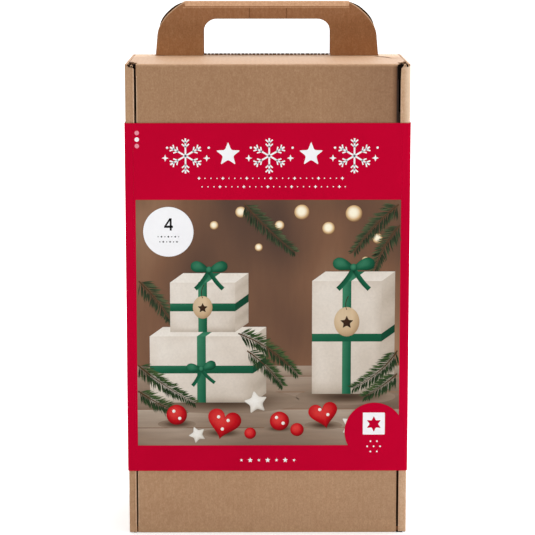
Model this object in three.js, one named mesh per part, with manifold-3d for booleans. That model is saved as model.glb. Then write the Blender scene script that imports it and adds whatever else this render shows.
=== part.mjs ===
import * as THREE from 'three';
import { mergeVertices } from 'three/addons/utils/BufferGeometryUtils.js';
import Module from 'manifold-3d';

const wasm = await Module();
wasm.setup();

// A standing box of folded corrugated card with a carry handle, a paper band and a felting kit inside.
// Lengths are millimetres. X runs to the right, the lid faces -Y and Z is up.
// The origin is the middle of the footprint.

// Box
const boxWidth = 190;
const boxDepth = 100;
const boxHeight = 322;
const board = 1.5;
const layerGap = 0.3;
const lidSlack = 1.4;
const creaseBulge = 1.3;
const stripDrop = 1.3;
const tabLength = 70;
const tabTaper = 8;
const lockTabHeight = 22;
const lockTabReach = 1.1;
const lockSlack = 0.6;
const lockPlaceShares = [0.28, 0.72];

// Closing flap and ears of the lid
const cornerStep = 14;
const cornerDepth = 28;
const notchSlack = 0.5;
const earWidth = 30;
const earEndClearance = 32;
const earTaper = 10;

// Handle
const handleInset = 16.6;
const handleRise = 38;
const handleDepth = 14;
const handleDraw = 3.2;
const shoulderRadius = 22;
const shoulderDrop = 2.2;
const handleFoldRadius = 3;
const openingWidth = 89.2;
const openingHeight = 25.2;
const openingSill = 0.6;
const openingCorner = 9.2;
const tongueInset = 6;
const tongueDepth = 22;
const tongueTaper = 6;
const foldStripInset = 2;

// Paper band
const paper = 0.4;
const bandBottom = 44;
const bandHeight = 239;

// Felting pad
const padSideRoom = 14.9;
const padDepth = 80;
const padHeight = 25;
const padRounding = 3;

// Gift bags
const bagCount = 4;
const bagInset = 5;
const bagHeight = 178;
const bagThickness = 7;
const bagCorner = 14;
const bagSoftness = 2.4;
const bagNeckShare = 0.8;
const bagNeckDraw = 22;
const bagMouthDraw = 12;

// Leaflet
const leafletInset = 1;
const leafletHeight = 210;
const leafletThickness = 1.2;

// Wool bundles
const woolInset = 7;
const woolHeight = 84;
const woolThickness = 24;
const woolSoftness = 9;
const woolCorner = 24;
const woolSpacing = 4;

// Number discs
const discCount = 4;
const discLength = 36;
const discWidth = 25;
const discThickness = 4;
const discHole = 3;
const discHolePlaceShare = 0.72;

// Ribbon spool
const spoolRadius = 20;
const spoolWidth = 18;
const spoolHub = 8;
const spoolBore = 4;
const spoolFlange = 1.5;
const ribbonFill = 3;

// Needle tube
const tubeRadius = 7;
const tubeWall = 1;
const tubeHeight = 88;
const capHeight = 22;
const capWall = 1;
const needleCount = 3;
const needleLength = 76;
const needleRadius = 0.9;
const needleBend = 6;
const needleBendRadius = 1.6;
const needleSpread = 3;

// Clear space between pieces that stand side by side in the kit
const kitSpacing = 3;

// How far a cutting solid runs past what it cuts
const cutOverrun = 1;

// Roundness
const curveSegments = 10;
const softCurveSegments = 6;
const softEdgeSegments = 2;
const latheSegments = 28;
const needleSteps = 16;
const needleSides = 6;

// Places that several pieces share
const front = -boxDepth / 2;
const back = boxDepth / 2;
const side = boxWidth / 2;
const panelBack = back - board;
const wallFront = front + board + layerGap;
const wallBack = panelBack - layerGap;
const outerWallInside = side - board;
const tabOutside = outerWallInside - layerGap;
const tabInside = tabOutside - board;
const innerWallOutside = tabInside - layerGap;
const innerWallInside = innerWallOutside - board;
const earOutside = innerWallInside - lidSlack;
const lidHalf = earOutside - creaseBulge;
const flapBottom = boxHeight - board;
const topWallTop = flapBottom - layerGap;
const topWallBottom = topWallTop - board;
const innerWallBottom = board + layerGap;
const innerWallTop = topWallBottom - layerGap;
const creaseRadius = board / 2;
const handleWidth = boxWidth - 2 * handleInset;
const tongueWidth = handleWidth - 2 * tongueInset;
const handleTop = boxHeight + handleRise;
const handleFoldBottom = handleTop - handleFoldRadius;
const handleFront = back - handleDepth;
const openingBottom = boxHeight + openingSill;
const floor = innerWallBottom;
const padTop = floor + padHeight;
const kitFloor = padTop + layerGap;
const padWidth = 2 * (innerWallInside - padSideRoom);
const bagWidth = padWidth - 2 * bagInset;
const leafletWidth = padWidth - 2 * leafletInset;
const woolWidth = (padWidth - woolSpacing) / 2 - woolInset;

// Finishes
const kraft = new THREE.MeshStandardMaterial({ color: 0xa8866a, roughness: 0.9, metalness: 0 });
const kraftLight = new THREE.MeshStandardMaterial({ color: 0xc9a582, roughness: 0.9, metalness: 0 });
const kraftDeep = new THREE.MeshStandardMaterial({ color: 0x8a5f3c, roughness: 0.9, metalness: 0 });
const redPaper = new THREE.MeshStandardMaterial({ color: 0xbe002a, roughness: 0.55, metalness: 0 });
const cotton = new THREE.MeshStandardMaterial({ color: 0xe6dccb, roughness: 0.95, metalness: 0 });
const redWool = new THREE.MeshStandardMaterial({ color: 0xc8101c, roughness: 1, metalness: 0 });
const whiteWool = new THREE.MeshStandardMaterial({ color: 0xf0ebe0, roughness: 1, metalness: 0 });
const foam = new THREE.MeshStandardMaterial({ color: 0x8f9296, roughness: 1, metalness: 0 });
const wood = new THREE.MeshStandardMaterial({ color: 0xb58a5c, roughness: 0.8, metalness: 0 });
const greenRibbon = new THREE.MeshStandardMaterial({ color: 0x17643f, roughness: 0.45, metalness: 0 });
const clearPlastic = new THREE.MeshStandardMaterial({ color: 0xdde3e6, roughness: 0.25, metalness: 0 });
const redPlastic = new THREE.MeshStandardMaterial({ color: 0xb01020, roughness: 0.4, metalness: 0 });
const steel = new THREE.MeshStandardMaterial({ color: 0xb8bcc0, roughness: 0.3, metalness: 1 });
const leafletPaper = new THREE.MeshStandardMaterial({ color: 0xf2efe8, roughness: 0.6, metalness: 0 });

// Outlines
function polygon(points) {
  return new THREE.Shape(points.map(([x, y]) => new THREE.Vector2(x, y)));
}

function rectangle(left, bottom, right, top) {
  return polygon([[left, bottom], [right, bottom], [right, top], [left, top]]);
}

function roundedRectangle(left, bottom, right, top, radius) {
  const shape = new THREE.Shape();
  shape.absarc(right - radius, bottom + radius, radius, -Math.PI / 2, 0);
  shape.absarc(right - radius, top - radius, radius, 0, Math.PI / 2);
  shape.absarc(left + radius, top - radius, radius, Math.PI / 2, Math.PI);
  shape.absarc(left + radius, bottom + radius, radius, Math.PI, Math.PI * 3 / 2);
  shape.closePath();
  return shape;
}

// Solids of one outline, as thick as given, with their long edges softened by as much as given
function slab(shape, thickness, softness = 0) {
  const geometry = new THREE.ExtrudeGeometry(shape, {
    depth: thickness - 2 * softness,
    curveSegments: softness > 0 ? softCurveSegments : curveSegments,
    bevelEnabled: softness > 0,
    bevelThickness: softness,
    bevelSize: softness,
    bevelOffset: -softness,
    bevelSegments: softEdgeSegments,
  });
  geometry.translate(0, 0, softness);
  return geometry;
}

function named(name, geometry, material) {
  const mesh = new THREE.Mesh(geometry, material);
  mesh.name = name;
  return mesh;
}

// A piece whose outline is drawn in X and Z, with its front face at the given Y
function acrossBox(name, shape, thickness, frontFace, material, softness) {
  const mesh = named(name, slab(shape, thickness, softness), material);
  mesh.rotation.x = Math.PI / 2;
  mesh.position.y = frontFace + thickness;
  return mesh;
}

// A piece whose outline is drawn in Y and Z, on the side given by sign, with its outer face that far out
function alongSide(name, shape, thickness, outerFace, sign, material) {
  const mesh = named(name, slab(shape, thickness), material);
  mesh.rotation.set(Math.PI / 2, Math.PI / 2, 0);
  mesh.position.x = sign > 0 ? outerFace - thickness : -outerFace;
  return mesh;
}

// A piece whose outline is drawn in X and Y, with its underside at the given Z
function level(name, shape, thickness, underside, material, softness) {
  const mesh = named(name, slab(shape, thickness, softness), material);
  mesh.position.z = underside;
  return mesh;
}

// A closed geometry as a solid that can be cut, and back again
function solidOf(geometry) {
  const bare = geometry.clone();
  bare.deleteAttribute('normal');
  bare.deleteAttribute('uv');
  const merged = mergeVertices(bare);
  return new wasm.Manifold(new wasm.Mesh({
    numProp: 3,
    vertProperties: new Float32Array(merged.attributes.position.array),
    triVerts: new Uint32Array(merged.index.array),
  }));
}

function geometryOf(solid) {
  const cut = solid.getMesh();
  const geometry = new THREE.BufferGeometry();
  geometry.setAttribute('position', new THREE.BufferAttribute(cut.vertProperties, cut.numProp));
  geometry.setIndex(new THREE.BufferAttribute(cut.triVerts, 1));
  geometry.computeVertexNormals();
  return geometry;
}

// Cuts the outlines right through a piece that is as thick as given
function slotted(mesh, outlines, thickness) {
  let solid = solidOf(mesh.geometry);
  for (const outline of outlines) {
    const tool = slab(outline, thickness + 2 * cutOverrun);
    tool.translate(0, 0, -cutOverrun);
    solid = solid.subtract(solidOf(tool));
  }
  mesh.geometry = geometryOf(solid);
  return mesh;
}

const sides = [['left', -1], ['right', 1]];

// Centre heights of the tabs that lock the inner walls into the back panel
const innerWallHeight = innerWallTop - innerWallBottom;
const lockHeights = lockPlaceShares.map((share) => innerWallBottom + share * innerWallHeight);

// Back panel, slotted for the lock tabs
function backPanel() {
  const half = (lockTabHeight + lockSlack) / 2;
  const slots = sides.flatMap(([, sign]) => lockHeights.map((height) => {
    const near = sign * (innerWallInside - layerGap);
    const far = sign * (innerWallOutside + layerGap);
    return rectangle(Math.min(near, far), height - half, Math.max(near, far), height + half);
  }));
  const panel = acrossBox('back_panel', rectangle(-side, 0, side, boxHeight), board, panelBack, kraft);
  return slotted(panel, slots, board);
}

// Inner wall outline, with its lock tabs on the back edge
function innerWallOutline() {
  const points = [[wallFront, innerWallBottom], [wallBack, innerWallBottom]];
  for (const height of lockHeights) {
    const half = lockTabHeight / 2;
    points.push([wallBack, height - half], [wallBack + lockTabReach, height - half]);
    points.push([wallBack + lockTabReach, height + half], [wallBack, height + half]);
  }
  points.push([wallBack, innerWallTop], [wallFront, innerWallTop]);
  return polygon(points);
}

// Corner tab outline, from its crease at one height to its free end at another
function cornerTabOutline(crease, free) {
  return polygon([
    [front + cornerDepth, crease], [wallBack, crease],
    [wallBack - tabTaper, free], [wallFront + tabTaper, free],
  ]);
}

// Outline of an end panel: full width at the back, stepped in to the lid's width at its front corners
function endPanelOutline(half) {
  return polygon([
    [-lidHalf, wallFront], [lidHalf, wallFront], [lidHalf, front + cornerStep], [half, front + cornerDepth],
    [half, wallBack], [-half, wallBack], [-half, front + cornerDepth], [-lidHalf, front + cornerStep],
  ]);
}

// Doubled side wall: outer wall, strip folded across the front edge, inner wall, and the corner tabs between
function sideWall([label, sign]) {
  const outer = rectangle(wallFront, 0, wallBack, boxHeight);
  const strip = rectangle(Math.min(sign * side, sign * innerWallInside), innerWallBottom - layerGap,
    Math.max(sign * side, sign * innerWallInside), boxHeight - stripDrop);
  const topTab = cornerTabOutline(topWallTop, topWallTop - tabLength);
  const bottomTab = cornerTabOutline(0, tabLength);
  return [
    alongSide(`${label}_wall_outer`, outer, board, side, sign, kraft),
    acrossBox(`${label}_wall_fold`, strip, board, front, kraft),
    alongSide(`${label}_wall_inner`, innerWallOutline(), board, innerWallOutside, sign, kraftLight),
    alongSide(`top_tab_${label}`, topTab, board, tabOutside, sign, kraftLight),
    alongSide(`bottom_tab_${label}`, bottomTab, board, tabOutside, sign, kraftLight),
  ];
}

function bottomWall() {
  return level('bottom_wall', endPanelOutline(innerWallOutside), board, 0, kraft);
}

// Top wall, slotted for the tongue of the handle
function topWall() {
  const half = tongueWidth / 2 + layerGap;
  const slot = rectangle(-half, handleFront - layerGap, half, handleFront + board + layerGap);
  const wall = level('top_wall', endPanelOutline(innerWallOutside), board, topWallBottom, kraft);
  return slotted(wall, [slot], board);
}

// Sides and rounded shoulders of a handle layer, from one foot over the fold edge to the other
function handleOver(shape, footBottom) {
  const half = handleWidth / 2;
  const straight = half - handleDraw;
  const centre = straight - shoulderRadius;
  const centreHeight = handleTop - shoulderDrop - shoulderRadius;
  const turn = Math.asin((handleFoldBottom - layerGap - centreHeight) / shoulderRadius);
  shape.lineTo(half, footBottom);
  shape.absarc(centre, centreHeight, shoulderRadius, 0, turn, false);
  shape.absarc(-centre, centreHeight, shoulderRadius, Math.PI - turn, Math.PI, false);
  shape.lineTo(-half, footBottom);
}

function handleOpening() {
  const half = openingWidth / 2;
  const top = openingBottom + openingHeight;
  const hole = new THREE.Path();
  hole.moveTo(-half, openingBottom);
  hole.lineTo(half, openingBottom);
  hole.absarc(half - openingCorner, top - openingCorner, openingCorner, 0, Math.PI / 2);
  hole.absarc(-half + openingCorner, top - openingCorner, openingCorner, Math.PI / 2, Math.PI);
  hole.closePath();
  return hole;
}

function handleBack() {
  const foot = boxHeight + layerGap;
  const shape = new THREE.Shape();
  shape.moveTo(-handleWidth / 2, foot);
  handleOver(shape, foot);
  shape.closePath();
  shape.holes.push(handleOpening());
  return acrossBox('handle_back', shape, board, panelBack, kraftDeep);
}

// Front layer, with the tongue that passes down through the top wall
function handleFrontLayer() {
  const foot = boxHeight + layerGap;
  const tongueEnd = boxHeight - tongueDepth;
  const half = tongueWidth / 2;
  const shape = new THREE.Shape();
  shape.moveTo(-half, foot);
  shape.lineTo(-half, tongueEnd + tongueTaper);
  shape.lineTo(-half + tongueTaper, tongueEnd);
  shape.lineTo(half - tongueTaper, tongueEnd);
  shape.lineTo(half, tongueEnd + tongueTaper);
  shape.lineTo(half, foot);
  handleOver(shape, foot);
  shape.closePath();
  shape.holes.push(handleOpening());
  return acrossBox('handle_front', shape, board, handleFront, kraftDeep);
}

// Folded strip over the top that joins the two layers, drawn in Y and Z
function handleTopStrip() {
  const half = handleWidth / 2 - shoulderRadius + foldStripInset;
  const inner = handleFoldRadius - board;
  const shape = new THREE.Shape();
  shape.moveTo(back, handleFoldBottom);
  shape.absarc(back - handleFoldRadius, handleFoldBottom, handleFoldRadius, 0, Math.PI / 2);
  shape.absarc(handleFront + handleFoldRadius, handleFoldBottom, handleFoldRadius, Math.PI / 2, Math.PI);
  shape.lineTo(handleFront + board, handleFoldBottom);
  shape.absarc(handleFront + handleFoldRadius, handleFoldBottom, inner, Math.PI, Math.PI / 2, true);
  shape.absarc(back - handleFoldRadius, handleFoldBottom, inner, Math.PI / 2, 0, true);
  shape.closePath();
  const mesh = named('handle_top', slab(shape, 2 * half), kraftDeep);
  mesh.rotation.set(Math.PI / 2, Math.PI / 2, 0);
  mesh.position.x = -half;
  return mesh;
}

// Lid panel with round creases at both ends, drawn in Y and Z
function lidPanel() {
  const axis = front + creaseRadius;
  const shape = new THREE.Shape();
  shape.absarc(axis, creaseRadius, creaseRadius, Math.PI, Math.PI * 2);
  shape.absarc(axis, boxHeight - creaseRadius, creaseRadius, 0, Math.PI);
  shape.closePath();
  const mesh = named('lid_panel', slab(shape, 2 * lidHalf), kraft);
  mesh.rotation.set(Math.PI / 2, Math.PI / 2, 0);
  mesh.position.x = -lidHalf;
  return mesh;
}

// Closing flap, which lies between the outer walls and is notched round the handle
function lidFlap() {
  const notch = handleWidth / 2 + notchSlack;
  const notchFront = handleFront - layerGap;
  const flap = level('lid_flap', endPanelOutline(tabOutside), board, flapBottom, kraftLight);
  return slotted(flap, [rectangle(-notch, notchFront, notch, wallBack + cutOverrun)], board);
}

// Ear folded inward from the edge of the lid panel, which its round crease sets a little outside that edge
function lidEar([label, sign]) {
  const free = wallFront + earWidth;
  const shape = polygon([
    [wallFront, earEndClearance], [free, earEndClearance + earTaper],
    [free, boxHeight - earEndClearance - earTaper], [wallFront, boxHeight - earEndClearance],
  ]);
  return alongSide(`lid_ear_${label}`, shape, board, earOutside, sign, kraftLight);
}

// Band, slit beside the lid panel so that its front piece opens with the lid
const bandInner = { x: side + layerGap, y: back + layerGap };
const bandOuter = { x: bandInner.x + paper, y: bandInner.y + paper };

function bandFront() {
  const half = innerWallInside - layerGap / 2;
  const shape = rectangle(-half, bandBottom, half, bandBottom + bandHeight);
  return acrossBox('band_front', shape, paper, -bandOuter.y, redPaper);
}

function bandWrap() {
  const lip = innerWallInside + layerGap / 2;
  const shape = polygon([
    [-lip, -bandOuter.y], [-lip, -bandInner.y], [-bandInner.x, -bandInner.y], [-bandInner.x, bandInner.y],
    [bandInner.x, bandInner.y], [bandInner.x, -bandInner.y], [lip, -bandInner.y], [lip, -bandOuter.y],
    [bandOuter.x, -bandOuter.y], [bandOuter.x, bandOuter.y], [-bandOuter.x, bandOuter.y],
    [-bandOuter.x, -bandOuter.y],
  ]);
  return level('band_wrap', shape, bandHeight, bandBottom, redPaper);
}

// Foam pad on the floor of the box, against the back
function feltingPad() {
  const shape = roundedRectangle(-padWidth / 2, wallBack - padDepth, padWidth / 2, wallBack, padRounding);
  return level('felting_pad', shape, padHeight, floor, foam);
}

// Front face of the numbered bag, counted from the back
function bagFront(index) {
  return wallBack - index * (bagThickness + layerGap);
}

// Folded bag: square foot, drawn neck and a wider mouth
function bagOutline() {
  const half = bagWidth / 2;
  const neck = kitFloor + bagNeckShare * bagHeight;
  const mouth = kitFloor + bagHeight;
  const shape = new THREE.Shape();
  shape.absarc(half - bagCorner, kitFloor + bagCorner, bagCorner, -Math.PI / 2, 0);
  shape.quadraticCurveTo(half, neck - bagCorner, half - bagNeckDraw, neck);
  shape.lineTo(half - bagMouthDraw, mouth);
  shape.lineTo(-half + bagMouthDraw, mouth);
  shape.lineTo(-half + bagNeckDraw, neck);
  shape.quadraticCurveTo(-half, neck - bagCorner, -half, kitFloor + bagCorner);
  shape.absarc(-half + bagCorner, kitFloor + bagCorner, bagCorner, Math.PI, Math.PI * 3 / 2);
  shape.closePath();
  return shape;
}

function giftBag(number) {
  const frontFace = bagFront(number) + layerGap;
  return acrossBox(`gift_bag_${number}`, bagOutline(), bagThickness, frontFace, cotton, bagSoftness);
}

function giftBags() {
  return Array.from({ length: bagCount }, (_, index) => giftBag(index + 1));
}

const leafletFront = bagFront(bagCount) - leafletThickness;
const woolFront = leafletFront - layerGap - woolThickness;
const frontRowMiddle = (woolFront - layerGap + wallBack - padDepth) / 2;

function leaflet() {
  const shape = rectangle(-leafletWidth / 2, kitFloor, leafletWidth / 2, kitFloor + leafletHeight);
  return acrossBox('instruction_leaflet', shape, leafletThickness, leafletFront, leafletPaper);
}

function woolBundle(name, sign, material) {
  const near = sign * woolSpacing / 2;
  const far = sign * (woolSpacing / 2 + woolWidth);
  const left = Math.min(near, far);
  const shape = roundedRectangle(left, kitFloor, left + woolWidth, kitFloor + woolHeight, woolCorner);
  return acrossBox(name, shape, woolThickness, woolFront, material, woolSoftness);
}

// Front row on the pad, from left to right: number discs, ribbon spool, needle tube
const capInner = tubeRadius + layerGap;
const capRadius = capInner + capWall;
const rowWidth = discLength + kitSpacing + 2 * spoolRadius + kitSpacing + 2 * capRadius;
const discX = -rowWidth / 2 + discLength / 2;
const spoolX = discX + discLength / 2 + kitSpacing + spoolRadius;
const tubeX = spoolX + spoolRadius + kitSpacing + capRadius;

// Oval wood slices with a string hole, stacked flat
function numberDiscs() {
  return Array.from({ length: discCount }, (_, index) => {
    const shape = new THREE.Shape();
    shape.absellipse(0, 0, discLength / 2, discWidth / 2, 0, Math.PI * 2);
    const hole = new THREE.Path();
    hole.absarc(-discHolePlaceShare * discLength / 2, 0, discHole / 2, 0, Math.PI * 2);
    shape.holes.push(hole);
    const underside = kitFloor + index * (discThickness + layerGap);
    const mesh = level(`number_disc_${index + 1}`, shape, discThickness, underside, wood);
    mesh.position.x = discX;
    mesh.position.y = frontRowMiddle;
    return mesh;
  });
}

// A turned piece from the radius and height of each corner of its section
function turned(name, corners, material) {
  const points = [...corners, corners[0]].map(([radius, height]) => new THREE.Vector2(radius, height));
  return named(name, new THREE.LatheGeometry(points, latheSegments), material);
}

// Ribbon spool, standing on its rim with its axis along Y
function ribbonSpool() {
  const half = spoolWidth / 2;
  const inside = half - spoolFlange;
  const core = turned('spool_core', [
    [spoolBore, -half], [spoolRadius, -half], [spoolRadius, -inside], [spoolHub, -inside],
    [spoolHub, inside], [spoolRadius, inside], [spoolRadius, half], [spoolBore, half],
  ], kraftLight);
  const ribbonEnd = inside - layerGap;
  const ribbon = turned('green_ribbon', [
    [spoolHub + layerGap, -ribbonEnd], [spoolRadius - ribbonFill, -ribbonEnd],
    [spoolRadius - ribbonFill, ribbonEnd], [spoolHub + layerGap, ribbonEnd],
  ], greenRibbon);
  for (const mesh of [core, ribbon]) {
    mesh.position.set(spoolX, frontRowMiddle, kitFloor + spoolRadius);
  }
  return [core, ribbon];
}

// Needle tube, its cap and the needles that stand in a row in it
function needleSet() {
  const group = new THREE.Group();
  const bore = tubeRadius - tubeWall;
  const tube = turned('needle_tube', [
    [0, 0], [tubeRadius, 0], [tubeRadius, tubeHeight], [bore, tubeHeight], [bore, tubeWall], [0, tubeWall],
  ], clearPlastic);
  const capCeiling = tubeHeight + layerGap;
  const capTop = capCeiling + capWall;
  const capBottom = capTop - capHeight;
  const cap = turned('needle_tube_cap', [
    [capInner, capBottom], [capRadius, capBottom], [capRadius, capTop], [0, capTop],
    [0, capCeiling], [capInner, capCeiling],
  ], redPlastic);
  tube.rotation.x = Math.PI / 2;
  cap.rotation.x = Math.PI / 2;
  group.add(tube, cap);
  for (let index = 0; index < needleCount; index += 1) {
    const needle = feltingNeedle(index + 1);
    const across = (index - (needleCount - 1) / 2) * needleSpread;
    needle.position.set(-needleBend / 2, across, tubeWall + layerGap);
    group.add(needle);
  }
  group.position.set(tubeX, frontRowMiddle, kitFloor);
  return group;
}

// Needle with a bent head, standing on its tip
function feltingNeedle(number) {
  const path = new THREE.CurvePath();
  const turnStart = new THREE.Vector3(0, 0, needleLength - needleBendRadius);
  const corner = new THREE.Vector3(0, 0, needleLength);
  const turnEnd = new THREE.Vector3(needleBendRadius, 0, needleLength);
  path.add(new THREE.LineCurve3(new THREE.Vector3(0, 0, 0), turnStart));
  path.add(new THREE.QuadraticBezierCurve3(turnStart, corner, turnEnd));
  path.add(new THREE.LineCurve3(turnEnd, new THREE.Vector3(needleBend, 0, needleLength)));
  const section = new THREE.Shape();
  section.absarc(0, 0, needleRadius, 0, Math.PI * 2);
  const geometry = new THREE.ExtrudeGeometry(section, {
    extrudePath: path, steps: needleSteps, curveSegments: needleSides / 2,
  });
  return named(`felting_needle_${number}`, geometry, steel);
}

// The box without its lid, with the kit that stands in it
const tray = new THREE.Group();
tray.add(backPanel(), ...sides.flatMap(sideWall), bottomWall(), topWall());
tray.add(handleBack(), handleFrontLayer(), handleTopStrip(), bandWrap());

const lid = new THREE.Group();
lid.add(lidPanel(), lidFlap(), ...sides.map(lidEar), bandFront());

const kit = new THREE.Group();
kit.add(feltingPad(), ...giftBags(), leaflet());
kit.add(woolBundle('red_wool', -1, redWool), woolBundle('white_wool', 1, whiteWool));
kit.add(...numberDiscs(), ...ribbonSpool(), needleSet());

const calendar = new THREE.Group();
calendar.add(tray, lid, kit);

export default calendar;
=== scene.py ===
import math
import random

import bpy
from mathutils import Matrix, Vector, noise


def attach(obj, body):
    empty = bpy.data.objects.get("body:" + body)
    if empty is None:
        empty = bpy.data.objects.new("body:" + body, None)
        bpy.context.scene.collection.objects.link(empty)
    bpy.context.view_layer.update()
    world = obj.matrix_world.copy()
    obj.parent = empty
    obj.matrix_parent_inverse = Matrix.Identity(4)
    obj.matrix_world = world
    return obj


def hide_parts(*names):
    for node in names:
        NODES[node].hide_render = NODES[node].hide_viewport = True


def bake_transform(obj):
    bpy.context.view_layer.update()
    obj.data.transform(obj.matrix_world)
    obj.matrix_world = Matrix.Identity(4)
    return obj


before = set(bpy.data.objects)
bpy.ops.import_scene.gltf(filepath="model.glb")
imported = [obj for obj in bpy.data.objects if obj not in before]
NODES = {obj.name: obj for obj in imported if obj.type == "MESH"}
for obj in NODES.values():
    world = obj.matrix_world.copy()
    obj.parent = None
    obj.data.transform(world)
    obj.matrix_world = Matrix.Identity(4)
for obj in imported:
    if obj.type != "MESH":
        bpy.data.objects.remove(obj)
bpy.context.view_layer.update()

MM = 0.001
FLUTE = 3.2


# Sizes of the solids, in millimetres

def node_box(name):
    """The lowest and the highest corner of a CAD node."""
    node = NODES[name]
    corners = [node.matrix_world @ Vector(c) for c in node.bound_box]
    return [[round(end(c[i] for c in corners) / MM, 2) for i in range(3)] for end in (min, max)]


def middle_and_half(low, high):
    return [(a + b) / 2 for a, b in zip(low, high)], [(b - a) / 2 for a, b in zip(low, high)]


HALF_WIDE, REAR, TOP = node_box("back_panel")[1]
FRONT = node_box("left_wall_fold")[0][1]
(_, BAND_FACE, BAND_LOW), (_, _, BAND_HIGH) = node_box("band_wrap")
FOLD_END, _, HANDLE_TOP = node_box("handle_top")[1]


# Colours

def linear(value):
    share = value / 255
    return share / 12.92 if share <= 0.04045 else ((share + 0.055) / 1.055) ** 2.4


def rgb(red, green, blue):
    return (linear(red), linear(green), linear(blue), 1.0)


def between(first, second, share):
    return tuple(a + (b - a) * share for a, b in zip(first, second))


def dimmed(colour, share):
    return tuple(c * share for c in colour[:3]) + (1.0,)


BLACK = (0.0, 0.0, 0.0, 1.0)
WHITE = (1.0, 1.0, 1.0, 1.0)
CARD = (rgb(160, 122, 90), rgb(179, 141, 108), rgb(199, 163, 129))
_, KRAFT, KRAFT_LIGHT = CARD
LINER = (rgb(136, 91, 57), rgb(157, 109, 72), rgb(178, 131, 94))


# Materials

def new_node(tree, kind, sockets=None, **settings):
    """A node whose sockets are given values or the outputs of other nodes."""
    made = tree.nodes.new(kind)
    for name, value in settings.items():
        setattr(made, name, value)
    for socket, value in (sockets or {}).items():
        if hasattr(value, "is_output"):
            tree.links.new(value, made.inputs[socket])
        else:
            made.inputs[socket].default_value = value
    return made


class Paint:
    """One procedural material, in the making."""

    def __init__(self, name, roughness=0.7, **values):
        self.material = bpy.data.materials.new(name)
        self.material.use_nodes = True
        self.tree = self.material.node_tree
        self.tree.nodes.clear()
        sockets = {socket.replace("_", " "): value for socket, value in values.items()}
        self.shader = self.node("ShaderNodeBsdfPrincipled", {"Roughness": roughness, **sockets})
        self.out = self.node("ShaderNodeOutputMaterial", {"Surface": self.shader.outputs[0]})
        self.place = self.node("ShaderNodeTexCoord").outputs["Object"]

    def node(self, kind, sockets=None, **settings):
        return new_node(self.tree, kind, sockets, **settings)

    def noise(self, scale, detail=4, stretch=(1, 1, 1), rough=0.55):
        mapping = self.node("ShaderNodeMapping", {"Vector": self.place, "Scale": stretch})
        sockets = {"Vector": mapping.outputs[0], "Scale": scale, "Detail": detail, "Roughness": rough}
        return self.node("ShaderNodeTexNoise", sockets).outputs["Fac"]

    def wave(self, pitch, axis="X", bend=0.0):
        sockets = {"Vector": self.place, "Scale": math.pi / 10 / (pitch * MM), "Distortion": bend,
                   "Detail": 1, "Detail Scale": 0.3}
        return self.node("ShaderNodeTexWave", sockets, bands_direction=axis).outputs["Fac"]

    def ramp(self, source, *stops):
        made = self.node("ShaderNodeValToRGB", {"Fac": source})
        elements = made.color_ramp.elements
        while len(elements) < len(stops):
            elements.new(0.5)
        for element, (place, colour) in zip(elements, stops):
            element.position = place
            element.color = colour
        return made.outputs["Color"]

    def mix(self, share, first, second, how="MIX"):
        return self.node("ShaderNodeMix", {0: share, 6: first, 7: second}, data_type="RGBA",
                         blend_type=how).outputs[2]

    def tint(self, base, source, amount, colour):
        """Lets a colour in where the source is bright, by up to the given amount."""
        share = self.node("ShaderNodeMapRange", {"Value": source, "To Max": amount})
        return self.mix(share.outputs[0], base, colour)

    def bump(self, height, depth, strength=1.0):
        made = self.node("ShaderNodeBump", {"Height": height, "Strength": strength, "Distance": depth * MM})
        normal = self.shader.inputs["Normal"]
        if normal.is_linked:
            self.tree.links.new(normal.links[0].from_socket, made.inputs["Normal"])
        self.tree.links.new(made.outputs[0], normal)

    def colour(self, source):
        self.tree.links.new(source, self.shader.inputs["Base Color"])
        return self.material


def board_paint(name, dark, mid, light, across="X", inner=None, gloss=0.14, shades=()):
    """Corrugated board: mottled liner, short fibres, dark flecks and the faint washboard of its flutes, whose
    stripes are partly the board's own and partly painted shade of their relief.

    Where inner is given, an axis, a place on it and a test, the far side of that place has the browner inside
    liner. Each entry of painted light and shade is an amount, a colour and the ranges in mm, each on an axis,
    over which it grows from nothing, and it may end in the word for a tint, which keeps the grain."""
    paint = Paint(name, 0.62, Specular_IOR_Level=gloss)
    along = (1, 1, 0.7)
    base = paint.ramp(paint.noise(10, 3), (0.25, between(mid, dark, 0.55)), (0.5, mid),
                      (0.8, between(mid, light, 0.4)))
    fibres = paint.noise(1000, 4, along, 0.65)
    for source, low, high, amount, colour in (
            (paint.noise(430, 3, along, 0.65), 0.36, 0.66, 0.62, light), (fibres, 0.36, 0.66, 0.66, dark),
            (paint.noise(1500, 2), 0.68, 0.75, 0.4, dimmed(dark, 0.35))):
        base = paint.tint(base, paint.ramp(source, (low, BLACK), (high, WHITE)), amount, colour)
    # The washboard darkens the colour in the flutes' troughs: partly the board's own stripes, partly painted
    # shade.
    wash = paint.wave(FLUTE, across, 0.6)
    base = paint.tint(base, wash, 0.12, dark)
    apart = paint.node("ShaderNodeSeparateXYZ", {0: paint.place}).outputs
    for amount, colour, ranges, *how in shades:
        share = amount
        for axis, low, high in ranges:
            share = paint.node("ShaderNodeMapRange", {"Value": apart[axis], "From Min": low * MM,
                                                      "From Max": high * MM, "To Max": share}).outputs[0]
        base = paint.mix(share, base, colour, *how)
    if inner:
        axis, place, test = inner
        side = paint.node("ShaderNodeMath", {0: apart[axis], 1: place * MM}, operation=test)
        base = paint.mix(side.outputs[0], base, (0.82, 0.65, 0.52, 1), "MULTIPLY")
    paint.bump(wash, 0.07, 0.6)
    paint.bump(fibres, 0.04, 0.6)
    return paint.colour(base)


def kraft(name, *inner, **more):
    return board_paint(name, *CARD, inner=inner, **more)


def edge_paint(name, dark, light):
    """The open edge of a board, where the liner's torn fibres show."""
    paint = Paint(name, 0.95, Specular_IOR_Level=0.02)
    base = paint.ramp(paint.noise(2400, 4), (0.3, dark), (0.7, light))
    paint.bump(paint.noise(3000, 3), 0.05, 0.6)
    return paint.colour(base)


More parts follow.
